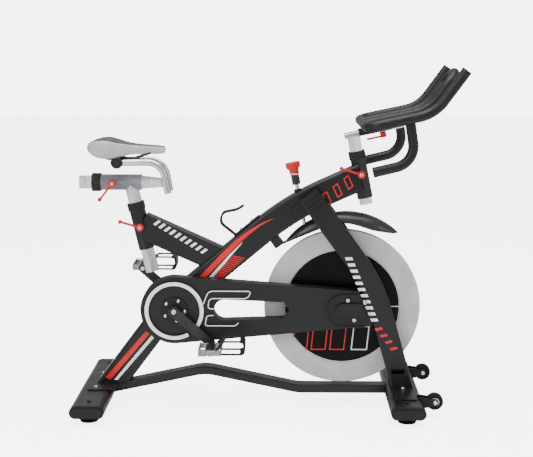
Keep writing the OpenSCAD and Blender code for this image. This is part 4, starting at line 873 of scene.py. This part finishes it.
# round black caps on the ends of the saddle clamp's cross bolt
CLAMP = (-0.479, 0.797)
CLAMP_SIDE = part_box("saddle_clamp")[1].y
for side, sign, turn in (("right", -1, OUTWARD_NEAR), ("left", 1, OUTWARD_FAR)):
    repeats("clamp_cap_" + side,
            turned([(0.0185, 0, 0), (0.0195, 0.0012, 0), (0.0195, 0.0035, 0), (0.017, 0.0058, 0),
                    (0.008, 0.0066, 0), (0.0072, 0.0058, 6), (0.0068, 0.0030, 6)]),
            [(CLAMP[0], sign * (CLAMP_SIDE - 0.0045), CLAMP[1])], [turn], BLACK_PLASTIC, "saddle")

# larger silver button heads over the guard's three screws
GUARD_SCREWS = [(AXLE[0] + x * MM, GUARD_FACE + 0.0006, AXLE[1] + z * MM) for x, z in ((15, 36), (36, -29), (70, 29))]
repeats("guard_screw_heads", screw_head(0.0066), GUARD_SCREWS, [OUTWARD_NEAR] * 3, STEEL, "frame")


# ---------------------------------------------------------------- floor, light and camera

PAPER_GLOW = 4.6
BACKDROP = 5.9


def floor():
    bm = bmesh.new()
    size = 14.0
    corners = [bm.verts.new((x, y, -0.0005)) for x, y in ((-size, -size), (size, -size), (size, size), (-size, size))]
    bm.faces.new(corners)
    mesh = bpy.data.meshes.new("floor")
    bm.to_mesh(mesh)
    bm.free()
    obj = bpy.data.objects.new("floor", mesh)
    bpy.context.scene.collection.objects.link(obj)
    # seamless studio paper: pale, dead matte, lit from behind where the camera sees it
    paper, tree, bsdf, place = surface("studio_paper", Specular_IOR_Level=0.0)
    finish_with(tree, bsdf, place, ("f4f4f4", "fafafa"), 900, (0.9, 0.95), (4, 0.01))
    seen = add(tree, "ShaderNodeLightPath").outputs["Is Camera Ray"]
    tree.links.new(sums(tree, "MULTIPLY", seen, PAPER_GLOW), bsdf.inputs["Emission Strength"])
    bsdf.inputs["Emission Color"].default_value = srgb("ffffff")
    mesh.materials.append(paper)


def lamp(name, spot, aim, size, power):
    light = bpy.data.lights.new(name, "AREA")
    light.shape = "RECTANGLE"
    light.size, light.size_y = size
    light.energy = power
    obj = bpy.data.objects.new(name, light)
    obj.location = spot
    obj.rotation_euler = (Vector(aim) - Vector(spot)).to_track_quat("-Z", "Y").to_euler()
    bpy.context.scene.collection.objects.link(obj)


floor()
lamp("overhead", (0.0, -0.4, 3.4), (0, 0, 0.4), (3.0, 2.2), 150)
lamp("front_fill", (-2.2, -3.4, 2.4), (0, 0, 0.5), (2.2, 2.2), 78)
lamp("side_edge", (3.0, -1.6, 1.8), (0.2, 0, 0.6), (1.6, 2.2), 22)
world = bpy.data.worlds.new("studio")
bpy.context.scene.world = world
world.use_nodes = True
tree = world.node_tree
tree.nodes.clear()
seen = add(tree, "ShaderNodeLightPath").outputs["Is Camera Ray"]
strength = add(tree, "ShaderNodeMapRange", {"Value": seen, "To Min": 0.6, "To Max": BACKDROP}).outputs["Result"]
sky = add(tree, "ShaderNodeBackground", {"Color": srgb("ffffff"), "Strength": strength})
add(tree, "ShaderNodeOutputWorld", {"Surface": sky.outputs["Background"]})

camera = bpy.data.cameras.new("camera")
camera.lens = 75.1
camera.sensor_width = 36.0
eye = bpy.data.objects.new("camera", camera)
eye.location = (0.0505, -3.5593, 1.1798)
eye.rotation_euler = (math.radians(90 - 9.59), 0, math.radians(0.86))
bpy.context.scene.collection.objects.link(eye)
bpy.context.scene.camera = eye
